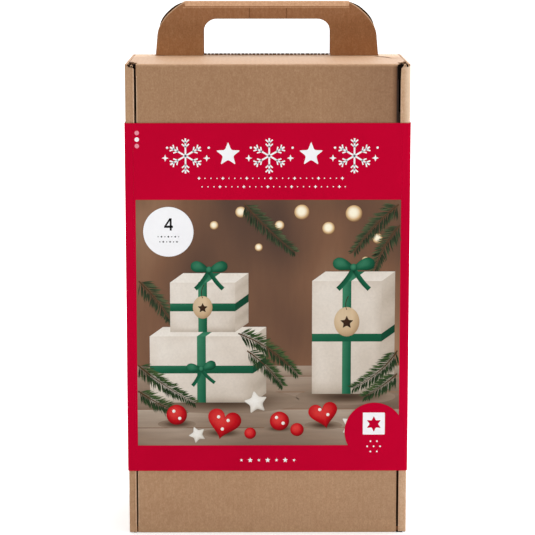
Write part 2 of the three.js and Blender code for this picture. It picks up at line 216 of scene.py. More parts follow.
def print_paint(name, *tones, grain=0.10, scale=420, stretch=(1, 1, 1)):
    """Coated paper, printed from dark to light by the tone of each point."""
    paint = Paint(name, 0.36, Specular_IOR_Level=0.04)
    tone = paint.node("ShaderNodeAttribute", attribute_name="tone").outputs["Fac"]
    stops = [rgb(*each) for each in tones]
    base = paint.ramp(tone, *((i / (len(stops) - 1), colour) for i, colour in enumerate(stops)))
    base = paint.tint(base, paint.noise(scale, 3, stretch), grain * 2, dimmed(stops[0], 0.45))
    paint.bump(paint.noise(160, 2), 0.03, 0.25)
    return paint.colour(base)


def red_paper(name, dark, light):
    paint = Paint(name, 0.5, Specular_IOR_Level=0.015)
    base = paint.ramp(paint.noise(9, 2), (0.3, dark), (0.7, light))
    base = paint.tint(base, paint.noise(1300, 3), 0.14, rgb(150, 0, 36))
    paint.bump(paint.noise(55, 2), 0.10, 0.25)
    paint.bump(paint.wave(FLUTE, "X", 0.5), 0.03, 0.18)
    return paint.colour(base)


def right_side(low, high):
    """Painted shade: the lid above the band grows darker towards its right edge, brown and then near black at
    the edge itself, where it turns into the gap.
    """
    return ((1.0, (0.79, 0.76, 0.77, 1.0), ((0, 35, 84), (2, low, high)), "MULTIPLY"),
            (0.72, rgb(84, 48, 24), ((0, 82.6, 85.8), (2, low, high))),
            (0.9, rgb(10, 5, 3), ((0, 85.4, 86.3), (2, low, high))))


# Painted shade on the lid: darker upwards above the band, darker to its lower right below the band, and the
# right edge's painted shade.
UPPER_PAINTED_SHADE = (0.81, 0.77, 0.73, 1.0)
LID_PAINTED_SHADES = ((1.0, UPPER_PAINTED_SHADE, ((2, 80, 300),), "MULTIPLY"),
              (1.0, (0.92, 0.92, 0.93, 1.0), ((0, 40, 86), (2, 60, 44)), "MULTIPLY")) + right_side(281, 284)
CREASE_PAINTED_SHADES = ((1.0, UPPER_PAINTED_SHADE, ((2, 321.5, 320.3),), "MULTIPLY"),) + right_side(321.5, 320.3)
# Painted light and shade on the handle: darker down the legs, painted lighter at their feet against the shade
# there, and darker on the right leg.
LEG_PAINTED_LIGHT = ((1.0, (0.90, 0.89, 0.83, 1.0), ((2, 352, 343),), "MULTIPLY"),
              (1.0, (1.27, 1.26, 1.23, 1.0), ((2, 338, 323),), "MULTIPLY"),
              (1.0, (0.91, 0.83, 0.76, 1.0), ((0, 30, 60), (2, 362, 344)), "MULTIPLY"))
# Painted highlight: the right fold grows paler towards its outer edge, on its upper part.
RIGHT_FOLD_PAINTED_HIGHLIGHT = (0.75, rgb(248, 222, 194), ((0, 90.6, 94.2), (2, 150, 320)))
# Painted light: the flap grows paler towards the handle, against the handle's shadow there.
FLAP_PAINTED_LIGHT = (0.5, rgb(232, 196, 160), ((1, 18, 36),))
# Painted shade: the ears grow near black towards their front edges, which lie in the gap beside the lid.
EAR_PAINTED_SHADE = (0.92, rgb(24, 15, 10), ((1, -46.9, -48.0),))

KRAFT_X = kraft("kraft_front")
KRAFT_Y = kraft("kraft_side", across="Y")
LINER_X = board_paint("kraft_inner", *LINER)
LINER_Y = board_paint("kraft_inner_side", *LINER, "Y")
# The lid panel and its top crease carry the painted shade above.
LID_KRAFT = kraft("kraft_lid_panel", 1, -49.2, "GREATER_THAN", shades=LID_PAINTED_SHADES)
CREASE_KRAFT = kraft("kraft_top_crease", shades=CREASE_PAINTED_SHADES)
# The handle in the darker liner colours, with the painted light and shade of its legs.
HANDLE_PAPER = board_paint("kraft_handle", *LINER, shades=LEG_PAINTED_LIGHT)
# Painted highlight: the handle's fold is a lighter copy of the liner, where it faces the light.
HANDLE_FOLD_PAINTED_HIGHLIGHT = board_paint("handle_fold", LINER[1], rgb(182, 138, 101), rgb(208, 166, 130))
# Painted light: pale board at the foot of the handle's opening, against the handle's shade there.
HANDLE_FOOT_PAINTED_LIGHT = board_paint("handle_foot", rgb(206, 170, 139), rgb(224, 192, 162), rgb(242, 216, 192))
# Painted light: the right fold is a lighter copy of the kraft, with the painted highlight above.
RIGHT_FOLD_PAINTED_LIGHT = board_paint("kraft_fold", KRAFT, rgb(201, 164, 131), rgb(222, 190, 160), shades=(RIGHT_FOLD_PAINTED_HIGHLIGHT,))
# Painted highlight: a paler copy of the kraft for the left rib and the pale line down the lid's left edge.
RIB_PAINTED_HIGHLIGHT = board_paint("fold_rib", KRAFT, KRAFT_LIGHT, rgb(226, 196, 166))
# Dark board for the score lines on the handle, and painted shade in the flap's slit and at the foot of each
# slit beside the lid.
SCORE_AND_PAINTED_SHADE = board_paint("score", rgb(100, 64, 38), rgb(124, 82, 51), rgb(146, 101, 66))
EDGE_DARK = edge_paint("flute_shadow", rgb(46, 28, 17), rgb(92, 62, 40))
EDGE_LIGHT = edge_paint("flute_paper", rgb(176, 137, 103), rgb(220, 187, 155))
# Painted shade: near-black board for the shadowed hollows at the corners and beside the lid.
HOLLOW_PAINTED_SHADE = edge_paint("hollow", rgb(10, 6, 4), rgb(20, 13, 9))
RED_PAPER = red_paper("red_print", rgb(186, 1, 43), rgb(200, 2, 48))
RED_SHADE = red_paper("red_edge", rgb(110, 0, 26), rgb(130, 0, 32))


# Pieces

def new_object(name, data):
    obj = bpy.data.objects.new(name, data)
    bpy.context.scene.collection.objects.link(obj)
    return obj


class Builder:
    """Points in millimetres, faces and tones of one piece."""

    def __init__(self):
        self.points = []
        self.faces = []
        self.tones = []

    def add(self, points, faces, tones=None):
        start = len(self.points)
        self.points.extend(points)
        self.faces.extend(tuple(start + i for i in face) for face in faces)
        self.tones.extend(tones or [0.5] * len(points))

    def grid(self, rows, closed=False, tones=None):
        wide = len(rows[0])
        count = wide if closed else wide - 1
        faces = [(r + c, r + (c + 1) % wide, r + wide + (c + 1) % wide, r + wide + c)
                 for r in range(0, (len(rows) - 1) * wide, wide) for c in range(count)]
        self.add([p for row in rows for p in row], faces, tones)

    def look_outward(self, first=0):
        """Turns the faces made since the first one over, where they look into the shape that they close."""
        made = self.faces[first:]
        corners = [Vector(self.points[i]) for face in made for i in face]
        middle = sum(corners, Vector()) / len(corners)
        volume = 0.0
        for face in made:
            a, *others = (Vector(self.points[i]) - middle for i in face)
            volume += sum(a.dot(b.cross(c)) for b, c in zip(others, others[1:]))
        if volume < 0:
            self.faces[first:] = [face[::-1] for face in made]

    def prism(self, rows):
        """Rows are copies of one closed section, and the first and last are capped."""
        first = len(self.faces)
        self.grid(rows, closed=True)
        wide = len(rows[0])
        start = len(self.points) - wide * len(rows)
        self.faces.append(tuple(start + i for i in reversed(range(wide))))
        self.faces.append(tuple(len(self.points) - wide + i for i in range(wide)))
        self.look_outward(first)

    def plate(self, outline, near, far):
        """An outline of (x, z) points, as thick as from near to far on Y."""
        self.prism([[(x, y, z) for x, z in outline] for y in (far, near)])

    def piece(self, name, material, body="tray", slot="kraft_board", smooth=False, stands_for=None):
        mesh = bpy.data.meshes.new(name)
        mesh.from_pydata([[c * MM for c in p] for p in self.points], [], self.faces)
        tone = mesh.attributes.new("tone", "FLOAT", "POINT")
        tone.data.foreach_set("value", self.tones)
        mesh.validate()
        obj = new_object(name, mesh)
        mesh.materials.append(material)
        if smooth:
            mesh.shade_smooth()
            mesh.set_sharp_from_angle(angle=math.radians(38))
        if body:
            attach(obj, body)
        if stands_for:
            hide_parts(stands_for)
        return obj


# Lines and shapes

def clamped(value, low=0.0, high=1.0):
    return max(low, min(high, value))


def smooth_step(share):
    share = clamped(share)
    return share * share * (3 - 2 * share)


def steps(low, high, length):
    """Evenly spaced places, about the given length apart."""
    count = max(1, round(abs(high - low) / length))
    return [low + (high - low) * i / count for i in range(count + 1)]


def around(count):
    """The angles of a full turn."""
    return [2 * math.pi * i / count for i in range(count)]


def arc(cx, cy, radius, start, end, steps=8):
    """Points on an arc, with angles in degrees."""
    turns = (math.radians(start + (end - start) * i / steps) for i in range(steps + 1))
    return [(cx + radius * math.cos(t), cy + radius * math.sin(t)) for t in turns]


def bend(start, middle, end, count=14):
    """A line that leaves its start towards the middle point, and bends to its end."""
    return [tuple((1 - t) ** 2 * a + 2 * t * (1 - t) * b + t * t * c for a, b, c in zip(start, middle, end))
            for t in (i / count for i in range(count + 1))]


def dense(path, length=0.4):
    """The same line with points no further apart than the length."""
    made = [path[0]]
    for a, b in zip(path, path[1:]):
        count = max(1, math.ceil(math.hypot(b[0] - a[0], b[1] - a[1]) / length))
        made.extend((a[0] + (b[0] - a[0]) * k / count, a[1] + (b[1] - a[1]) * k / count)
                    for k in range(1, count + 1))
    return made


def beside(path, i, left=True):
    """The unit vector to the left or right of a line, at one of its points."""
    a = path[max(0, i - 1)]
    b = path[min(len(path) - 1, i + 1)]
    run = math.hypot(b[0] - a[0], b[1] - a[1]) or 1
    nx, nz = -(b[1] - a[1]) / run, (b[0] - a[0]) / run
    return (nx, nz) if left else (-nx, -nz)


SQUARE = ((-1, -1), (1, -1), (1, 1), (-1, 1))


def mirrored(outline, sign):
    return [(sign * x, z) for x, z in outline]


def uneven(x, y, z):
    """Smooth noise about zero."""
    return noise.noise(Vector((x, y, z)))


def wobble(x, y, z, size, amount, seed=0):
    """Slow unevenness of a hand-folded board."""
    return amount * uneven(x / size + seed, y / size, z / size)


# Camera

PHOTO_PIXELS = 535
FOCAL_PIXELS = 2058.2
SHIFT_PIXELS = -26
CAMERA_PLACE = (-8.2, -1418.1, 421.6)
PITCH = math.radians(9.081)
YAW = math.radians(0.337)


def aim(obj, direction):
    obj.rotation_mode = "QUATERNION"
    obj.rotation_quaternion = direction.to_track_quat("-Z", "Y")


def camera():
    data = bpy.data.cameras.new("camera")
    obj = new_object("camera", data)
    data.sensor_width = 36
    data.lens = FOCAL_PIXELS / PHOTO_PIXELS * data.sensor_width
    data.shift_y = SHIFT_PIXELS / PHOTO_PIXELS
    data.clip_start = 0.02
    data.clip_end = 60
    obj.location = Vector(CAMERA_PLACE) * MM
    aim(obj, Vector((math.sin(YAW) * math.cos(PITCH), math.cos(YAW) * math.cos(PITCH), -math.sin(PITCH))))
    bpy.context.scene.camera = obj


# Light, floor and background, in metres

def area_light(name, place, target, size, power):
    data = bpy.data.lights.new(name, "AREA")
    data.shape = "RECTANGLE"
    data.size, data.size_y = size
    data.energy = power
    obj = new_object(name, data)
    obj.location = place
    aim(obj, Vector(target) - Vector(place))


def seen_rays(tree):
    """1 for the rays that show the background: the camera's, those in gloss and those through plastic."""
    path = new_node(tree, "ShaderNodeLightPath")
    total = path.outputs["Is Camera Ray"]
    for name in ("Is Glossy Ray", "Is Transmission Ray"):
        total = new_node(tree, "ShaderNodeMath", {0: total, 1: path.outputs[name]}, operation="ADD",
                         use_clamp=True).outputs[0]
    return total


def studio():
    scene = bpy.context.scene
    scene.view_settings.view_transform = "Standard"
    scene.world = bpy.data.worlds.new("studio")
    scene.world.use_nodes = True
    tree = scene.world.node_tree
    tree.nodes.clear()
    soft, white = (new_node(tree, "ShaderNodeBackground", {"Color": WHITE, "Strength": strength}).outputs[0]
                   for strength in (0.42, 1.0))
    mix = new_node(tree, "ShaderNodeMixShader", {0: seen_rays(tree), 1: soft, 2: white})
    new_node(tree, "ShaderNodeOutputWorld", {"Surface": mix.outputs[0]})
    area_light("top_light", (0.25, 0.5, 1.9), (0, 0, 0.3), (1.6, 1.2), 32)
    area_light("front_light", (-0.5, -2.1, 0.34), (0, 0, 0.12), (2.2, 0.62), 11)
    area_light("right_light", (2.2, -0.55, 1.0), (0, 0, 0.22), (1.2, 1.4), 17)
    area_light("left_light", (-2.0, -0.2, 0.8), (0, 0, 0.2), (1.2, 1.4), 7)
    area_light("back_light", (0.6, 2.3, 1.0), (0, 0, 0.2), (2.0, 1.6), 14)
    floor_and_backdrop()


def floor_and_backdrop():
    """One pale surface that the object stands on, as wide as any view needs."""
    built = Builder()
    built.add([(x * 9000, y * 9000, 0) for x, y in SQUARE], [(0, 1, 2, 3)])
    paint = Paint("pale_floor", 0.9, Base_Color=(0.86, 0.86, 0.86, 1))
    away = paint.node("ShaderNodeVectorMath", {0: paint.place}, operation="LENGTH")
    sockets = {"Value": away.outputs["Value"], "From Min": 0.18, "From Max": 0.75, "To Min": 0.42}
    far = paint.node("ShaderNodeMapRange", sockets, interpolation_type="SMOOTHSTEP")
    seen = seen_rays(paint.tree)
    strength = paint.node("ShaderNodeMath", {0: seen, 1: far.outputs[0]}, operation="MULTIPLY")
    glow = paint.node("ShaderNodeEmission", {"Strength": strength.outputs[0]})
    total = paint.node("ShaderNodeAddShader", {0: paint.shader.outputs[0], 1: glow.outputs[0]})
    paint.tree.links.new(total.outputs[0], paint.out.inputs["Surface"])
    built.piece("floor", paint.material, None, None)


# Carried-over boards

WORN = 0.22
WORN_MORE = 0.25


def dress(node, material, bevel=0.0):
    """Gives a CAD node its material, and slightly worn edges."""
    obj = NODES[node]
    obj.data.materials.clear()
    obj.data.materials.append(material)
    if bevel:
        soft = obj.modifiers.new("worn_edges", "BEVEL")
        soft.width = bevel * MM
        soft.segments = 2
        soft.limit_method = "ANGLE"
        soft.angle_limit = math.radians(40)


def boards():
    above, below = "GREATER_THAN", "LESS_THAN"
    # The flap has painted light in front of the handle.
    flap = {"gloss": 0.5, "shades": (FLAP_PAINTED_LIGHT,)}
    # The ears have painted shade at their front edges.
    ear = {"shades": (EAR_PAINTED_SHADE,)}
    for node, axis, place, test, more in (
            ("back_panel", 1, 49.2, below, {}), ("top_wall", 2, 319.4, below, {}),
            ("bottom_wall", 2, 0.8, above, {}), ("lid_flap", 2, 321.2, below, flap),
            ("lid_ear_left", 0, -87.8, above, ear), ("lid_ear_right", 0, 87.8, below, ear)):
        dress(node, kraft(f"kraft_{node}", axis, place, test, **more), WORN)
    dress("lid_panel", LID_KRAFT)
    for side in ("left", "right"):
        dress(f"{side}_wall_outer", KRAFT_Y, WORN)
        dress(f"{side}_wall_inner", KRAFT_Y, WORN)
        dress(f"top_tab_{side}", LINER_Y, WORN)
        dress(f"bottom_tab_{side}", LINER_Y, WORN)
    for node in ("handle_back", "handle_front"):
        dress(node, HANDLE_PAPER, WORN_MORE)


# Folds and creases

def lid_side(sign, z):
    """Where the lid's side crease ends: the lid is a little narrower at the top."""
    share = smooth_step((z - BAND_LOW) / (BAND_HIGH - BAND_LOW))
    return 88.9 - 1.35 * share if sign < 0 else 88.3 - 1.0 * share


def fold_side(sign, z):
    """Where the doubled wall's front fold ends, beside the lid."""
    share = smooth_step((z - BAND_LOW) / (BAND_HIGH - BAND_LOW))
    return 90.0 - 1.0 * share if sign < 0 else 89.75 - 1.2 * share


def front_folds():
    """Doubled front edges of the tray: the board folds round the front and back inside."""
    for side, sign in (("left", -1), ("right", 1)):
        fold = Builder()
        rib = Builder()
        rows = []
        beads = []
        for z in steps(0.4 if sign < 0 else 0.8, 320.7, 6):
            place = fold_side(sign, z)
            section = [(95.04, -47.2), (95.07, -48.55)] + arc(93.6, -48.55, 1.47, 0, -90, 7)
            section += arc(place + 1.12, -48.9, 1.12, -90, -180, 6) + [(89.93, -46.0)]
            section += [(89.97, -46.0), (89.97, -48.3), (95.01, -48.3), (95.01, -47.2)]
            shift = wobble(0, 0, z, 55, 0.22, 3 + sign)
            twist = wobble(3, 1, z, 24, 0.11, 12 + sign)
            rows.append([(sign * x + twist * 0.5, y + shift * (1 if y < -48 else 0.2), z)
                         for x, y in section][::-sign])
            swell = 0.46 * (1 + 0.18 * uneven(z / 18, sign < 0, 2.0))
            ring = [(place, -49.0), (place, FRONT)] + arc(place + swell, FRONT, swell, 180, 360, 6)[1:]
            ring += [(place + 0.66, -49.6)]
            beads.append([(sign * x, max(FRONT - 0.28, y), z) for x, y in ring][::sign])
        fold.prism(rows)
        # The right fold and its rib get the painted-light kraft; the left rib gets a painted highlight.
        fold.piece(f"{side}_front_fold", RIGHT_FOLD_PAINTED_LIGHT if sign > 0 else KRAFT_X, smooth=True,
                   stands_for=f"{side}_wall_fold")
        rib.prism(beads)
        rib.piece(f"{side}_fold_rib", RIB_PAINTED_HIGHLIGHT if sign < 0 else RIGHT_FOLD_PAINTED_LIGHT, smooth=True)


def rear_corners():
    """Rounded upright creases between the back panel and the outer walls."""
    outer = [(95.06, 40.0), (95.06, 48.55)] + arc(93.55, 48.55, 1.51, 0, 90, 7) + [(84.0, 50.04)]
    inner = [(84.0, REAR), (93.5, 49.98), (94.98, 48.5), (HALF_WIDE, 40.0)]
    for side, sign in (("left", -1), ("right", 1)):
        built = Builder()
        outline = mirrored(outer + inner, sign)[::sign]
        built.prism([[(x, y, z) for x, y in outline] for z in steps(0.1, 321.9, 8)])
        built.piece(f"{side}_rear_crease", KRAFT_Y, smooth=True)


def crease(name, path, thickness, sides, material):
    """A skin over a hinge crease. The path is in Y and Z."""
    inner = []
    for i, (y, z) in enumerate(path):
        ny, nz = beside(path, i)
        inner.append((y - ny * thickness, z - nz * thickness))
    built = Builder()
    built.prism([[(x, y, z) for y, z in path + inner[::-1]] for x in steps(*sides, 4)])
    obj = built.piece(name, material, None, smooth=True)
    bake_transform(obj)


INNER_SIDES = (-86.9, 86.9)


def creases():
    top = [(-50.03, 314.0), (-50.09, 316.5), (-50.11, 319.8)] + arc(-48.95, 321.0, 1.16, 180, 90, 8)
    top += [(-47.0, TOP + 0.14), (-44.5, TOP + 0.08), (-42.5, TOP + 0.03)]
    crease("top_crease", top, 0.05, (-87.7, 87.25),
           CREASE_KRAFT)
    inside = [(-40.0, 320.46), (-48.1, 320.46), (-48.37, 320.4)]
    inside += [(-48.44, z) for z in (320.2, 318.0, 306.0)]
    crease("top_crease_inside", inside, 0.04, INNER_SIDES,
           LINER_X)
    low = [(-50.02, 9.0), (-50.08, 6.0), (-50.1, 2.4)] + arc(-48.9, 1.24, 1.2, 180, 255, 7)
    crease("bottom_crease", low[::-1], 0.05, (-89.0, 88.3),
           KRAFT_X)
    inside = [(-48.43, 14.0), (-48.43, 4.0)] + arc(-46.5, 3.5, 1.93, 180, 270, 6)
    inside += [(-43.0, 1.55), (-38.0, 1.53)]
    crease("bottom_crease_inside", inside, 0.03, INNER_SIDES,
           LINER_X)


def lid_creases():
    """Rounded creases at the lid's sides, with a pale line down the left one, a painted highlight along that
    crease.
    """
    built = Builder()
    worn = Builder()
    for sign in (-1, 1):
        rows = []
        for z in steps(2.4, 319.6, 5):
            place = lid_side(sign, z)
            section = [(86.4, -50.02), (place - 0.6, -50.02), (place - 0.18, -49.86), (place, -49.4),
                       (place, -48.45), (place - 0.2, -48.45), (place - 0.25, -49.3), (86.4, -49.9)]
            rows.append([(sign * x, y, z) for x, y in section][::sign])
        built.prism(rows)
    # A painted highlight: a pale line down the left crease, above and below the band.
    for low, high in ((2.5, BAND_LOW - 0.4), (BAND_HIGH + 0.4, 319.0)):
        rows = []
        for z in steps(low, high, 3):
            place = lid_side(-1, z)
            wide = 0.62 + 0.22 * uneven(z / 9, -2.0, 5.0)
            rows.append([(-place - 0.03, -49.2, z), (-place - 0.02, -49.7, z), (-place + 0.2, -50.04, z),
                         (-place + 0.1 + wide, -50.045, z)])
        worn.grid(rows)
    built.piece("lid_side_creases", LID_KRAFT, "lid", smooth=True)
    worn.piece("lid_edge_highlight", RIB_PAINTED_HIGHLIGHT, "lid", smooth=True)


def open_corners():
    """Near-black plates that paint the shade of the hollows at the corners beside the lid, the upper ones
    with the round ends of the tucked tabs.
    """
    dark = Builder()
    for sign in (-1, 1):
        shape = [(93.42, -48.2), (87.0, -48.2), (87.0, -35.9), (92.9, -22.3), (93.42, -22.3)]
        for low, high in ((320.38, 320.44), (0.1, 1.44)):
            dark.prism([[(x, y, z) for x, y in mirrored(shape, sign)[::-sign]] for z in (low, high)])
        shape = [(87.3, 320.3), (93.35, 320.3), (93.35, 321.85), (87.3, 321.85)]
        dark.plate(mirrored(shape, sign)[::sign], -48.25, -47.9)
    for near, far, notch in (
            (-50.34, -49.2, [(86.5, 321.9), (89.6, 321.5), (89.9, 320.5), (88.9, 319.4), (88.5, 312.0),
                             (86.8, 312.0)]),
            (-50.34, -49.2, [(92.5, 320.3), (93.6, 320.3), (93.4, 321.2), (92.5, 320.9)]),
            (-49.8, -48.4, [(88.5, 0.05), (92.7, 0.05), (92.7, 0.75), (88.5, 1.3)]),
            (-50.34, -49.2, [(-87.7, 321.9), (-87.7, 318.5), (-89.1, 319.2), (-90.3, 319.9), (-92.6, 320.2),
                             (-92.6, 320.95)]),
            (-49.8, -48.4, [(-92.1, 0.05), (-92.1, 0.4), (-90.2, 0.9), (-90.2, 0.05)])):
        dark.plate(notch, near, far)
    dark.piece("corner_hollows", HOLLOW_PAINTED_SHADE)
    # The feet at the bottom of the slits beside the lid are painted dark as shade.
    feet = Builder()
    for sign in (-1, 1):
        left, right = sorted((sign * (lid_side(sign, 0) - 0.1), sign * (fold_side(sign, 0) + 0.3)))
        feet.plate([(left, 0.3), (right, 0.3), (right, 4.4), (left, 3.6)], -49.3, -48.5)
    feet.piece("slit_feet", SCORE_AND_PAINTED_SHADE)
    loops = Builder()
    for x, z, radius, thick, near, far, start, end in (
            (-89.2, 320.9, 1.1, 0.45, -33.5, -29.0, 5, 175),
            (-90.6, 320.75, 0.9, 0.38, -50.42, -44.0, -60, 215),
            (91.4, 320.9, 1.0, 0.55, -50.42, -44.0, -40, 230),
            (90.2, 320.6, 1.4, 0.38, -31.0, -27.0, 20, 160)):
        loops.plate(arc(x, z, radius, start, end, 10) + arc(x, z, radius - thick, end, start, 10), near, far)
    loops.piece("tab_loops", EDGE_LIGHT, smooth=True)


def flap_slit():
    """Curved slit near the flap's right edge, whose rear lip stands up a little; the slit's face under the
    lip is painted dark as its shadow.
    """
    slit = []
    lip = []
    line = bend((75.0, 25.5), (83.5, 21.0), (86.0, 5.0), 24)
    for i, (x, y) in enumerate(line):
        nx, ny = beside(line, i, False)
        low = TOP + 0.03
        rise = 0.34 * math.sin(math.pi * i / 24) ** 0.7
        slit.append([(x, y, low + rise), (x, y, low - 0.01), (x + nx * 0.3, y + ny * 0.3, low)])
        lip.append([(x - nx * 4.5, y - ny * 4.5, low), (x - nx * 1.6, y - ny * 1.6, low + 0.01 + rise * 0.75),
                    (x, y, low + 0.01 + rise)])
    for rows, name, material in ((slit, "flap_slit", SCORE_AND_PAINTED_SHADE), (lip, "flap_slit_lip", KRAFT_X)):
        built = Builder()
        built.grid(rows)
        built.piece(name, material, "flap", smooth=rows is lip)


# Handle, with cut edges that show the flutes

SHOULDER = 23.2
SHOULDER_X = 53.2
SHOULDER_Z = 334.6
LEG_FULLNESS = 0.9
LEG_FOOT = (node_box("handle_back")[1][0], TOP + 0.4)
LAYERS = {side: tuple(corner[1] for corner in node_box(f"handle_{side}")) for side in ("front", "back")}
HANDLE = ("tray", "handle_board")


def cut_edge(dark, light, path, near, far, left):
    """Dresses an open board edge: its liners and the wave of its flutes, over the dark between them.

    The path is (x, z) along the edge, and the open air is to its left or right."""
    def strip(built, lift, low, high, swing=0.0):
        rows = []
        travelled = 0.0
        for i, (x, z) in enumerate(path):
            if i:
                travelled += abs(x - path[i - 1][0]) + 0.03 * abs(z - path[i - 1][1])
            wave = swing * math.sin(travelled * 2 * math.pi / FLUTE)
            nx, nz = beside(path, i, left)
            row = [(x + nx * lift, y + wave, z + nz * lift) for y in (low, high)]
            rows.append(row[::-1] if left else row)
        built.grid(rows)

    liner = 0.24
    middle = (near + far) / 2
    strip(dark, 0.02, near + 0.05, far - 0.05)
    strip(light, 0.05, near + 0.03, near + liner)
    strip(light, 0.05, far - liner, far - 0.03)
    strip(light, 0.06, middle - 0.09, middle + 0.09, (far - near) / 2 - liner - 0.06)


def shoulder_line(grow=0.0, low=0.0):
    """From the leg up over the right shoulder to the end of the fold, as (x, z)."""
    line = [(x + LEG_FULLNESS * (1 - smooth_step((z - SHOULDER_Z) / 16)), z)
            for x, z in arc(SHOULDER_X, SHOULDER_Z, SHOULDER + grow, low, 50, 12)]
    return line + bend(line[-1], (63.4 + grow * 0.7, 356.9 + grow * 0.7), (FOLD_END - 0.4, 359.4), 8)[1:]


def handle_edges():
    opening = ([(-44.6, 322.6), (44.6, 322.6)] + arc(35.4, 338.6, 9.2, 0, 90, 8)
               + arc(-35.4, 338.6, 9.2, 90, 180, 8) + [(-44.6, 322.6)])
    for side, (near, far) in LAYERS.items():
        dark = Builder()
        light = Builder()
        cut_edge(dark, light, dense(opening), near, far, True)
        for sign in (-1, 1):
            cut_edge(dark, light, dense(mirrored([LEG_FOOT] + shoulder_line(), sign)), near, far, sign < 0)
        dark.piece(f"handle_{side}_flutes", EDGE_DARK, *HANDLE)
        light.piece(f"handle_{side}_liners", EDGE_LIGHT, *HANDLE)
    dashes = Builder()
    source = random.Random(8)
    x = -44.4
    while x < 43.6:
        end = min(44.4, x + source.uniform(1.5, 2.7))
        dashes.plate([(x, 322.62), (end, 322.62), (end, 323.64), (x, 323.64)], 36.05, 36.6)
        x = end + source.uniform(0.5, 1.0)
    dashes.piece("handle_cut_dashes", EDGE_DARK, *HANDLE)
    # The strip under the opening is painted pale, as painted light against the handle's shade.
    foot = Builder()
    foot.grid([[(x, 35.95, 322.34), (x, 35.0, 322.3), (x, 33.9, 322.03)] for x in steps(-44.5, 44.5, 6)])
    foot.piece("handle_foot_paper", HANDLE_FOOT_PAINTED_LIGHT, *HANDLE)
    scores = Builder()
    for x in (-12.4, 13.6):
        scores.grid([[(x - 0.3, 35.9, z), (x, 35.93, z), (x + 0.3, 35.9, z)] for z in steps(348.2, 355.4, 2)])
    scores.piece("handle_score_lines", SCORE_AND_PAINTED_SHADE, *HANDLE)


def handle_shoulders():
    """The two layers run smoothly up to the fold: a light cut edge in front, partly a painted highlight, and
    the rim of the rear layer painted dark as its shade.
    """
    shape = [LEG_FOOT] + shoulder_line() + [(57.5, 355.9)]
    shape += arc(SHOULDER_X, SHOULDER_Z, SHOULDER - 1.8, 70, 0, 12) + [(77.0, LEG_FOOT[1])]
    line = shoulder_line(0.0, 4.0)
    count = len(line)
    edge = [between(inside, outside, smooth_step((i - 1) / 7) * (1 - 0.35 * smooth_step((i - count + 6) / 6)))
            for i, (inside, outside) in enumerate(zip(line, shoulder_line(1.35, 4.0)))]
    fill = Builder()
    rim = Builder()
    glint = Builder()
    for sign in (-1, 1):
        for near, far in LAYERS.values():
            fill.plate(mirrored(shape, sign)[::sign], near + 0.03, far - 0.03)
        for a, b, c, d in zip(line, line[1:], edge[1:], edge):
            rim.plate(mirrored((a, b, c, d), sign)[::sign], 48.6, 49.9)
        rows = []
        for i in range(2, count):
            x, z = line[i]
            nx, nz = beside(line, i)
            width = 0.62 * smooth_step((i - 1) / 6)
            rows.append([(sign * (x + nx * width), 35.93, z + nz * width), (sign * x, 35.97, z),
                         (sign * (x - nx * 0.12), 36.5, z - nz * 0.12)])
        glint.grid(rows[::sign])
    fill.piece("handle_shoulders", HANDLE_PAPER, *HANDLE)
    # The rear rim's dark colour is painted shade.
    rim.piece("handle_rear_rim", EDGE_DARK, *HANDLE)
    glint.piece("handle_cut_line", EDGE_LIGHT, *HANDLE)


def handle_top():
    """The folded strip that joins the handle's two layers, with its two scored creases."""
    section = [(35.94, 355.3), (35.94, 355.9)] + arc(37.3, 355.9, 1.36, 180, 125, 4)
    section += [(38.2, 358.0), (39.3, 359.2), (40.6, 359.85), (43.0, HANDLE_TOP), (46.5, 359.9)]
    section += arc(47.3, 357.2, 2.76, 90, 0, 7) + [(50.06, 356.5), (50.06, 353.0)]
    section += [(50.02, 353.0), (49.99, 356.7)] + arc(47.3, 357.2, 1.3, 0, 90, 4)
    section += [(40.8, 358.4), (38.6, 356.5), (37.3, 355.8), (36.01, 355.5), (35.98, 355.3)]
    rows = []
    for x in steps(-FOLD_END - 0.9, FOLD_END - 0.4, 1.75):
        sag = max(0.0, (abs(x) - 56.5) / 3) ** 2 * 0.6
        rows.append([(x, y, z - (sag if z > 357 else 0) + wobble(x, y, z, 30, 0.10)) for y, z in section])
    built = Builder()
    built.prism(rows)
    # The fold strip is painted in the lighter liner as a painted highlight.
    built.piece("handle_fold", HANDLE_FOLD_PAINTED_HIGHLIGHT, *HANDLE, smooth=True, stands_for="handle_top")


# Band

BAND_CORNER_X = 93.7
BAND_CORNER_Y = 48.7
BAND_ROUND = 2.0
BAND_PAPER = 0.25
BAND_END = 90.03
BAND_MESH = 8
SEAM_X = 46.0
SHEET_HALF = 90.0
SHEET_BACK = -50.32


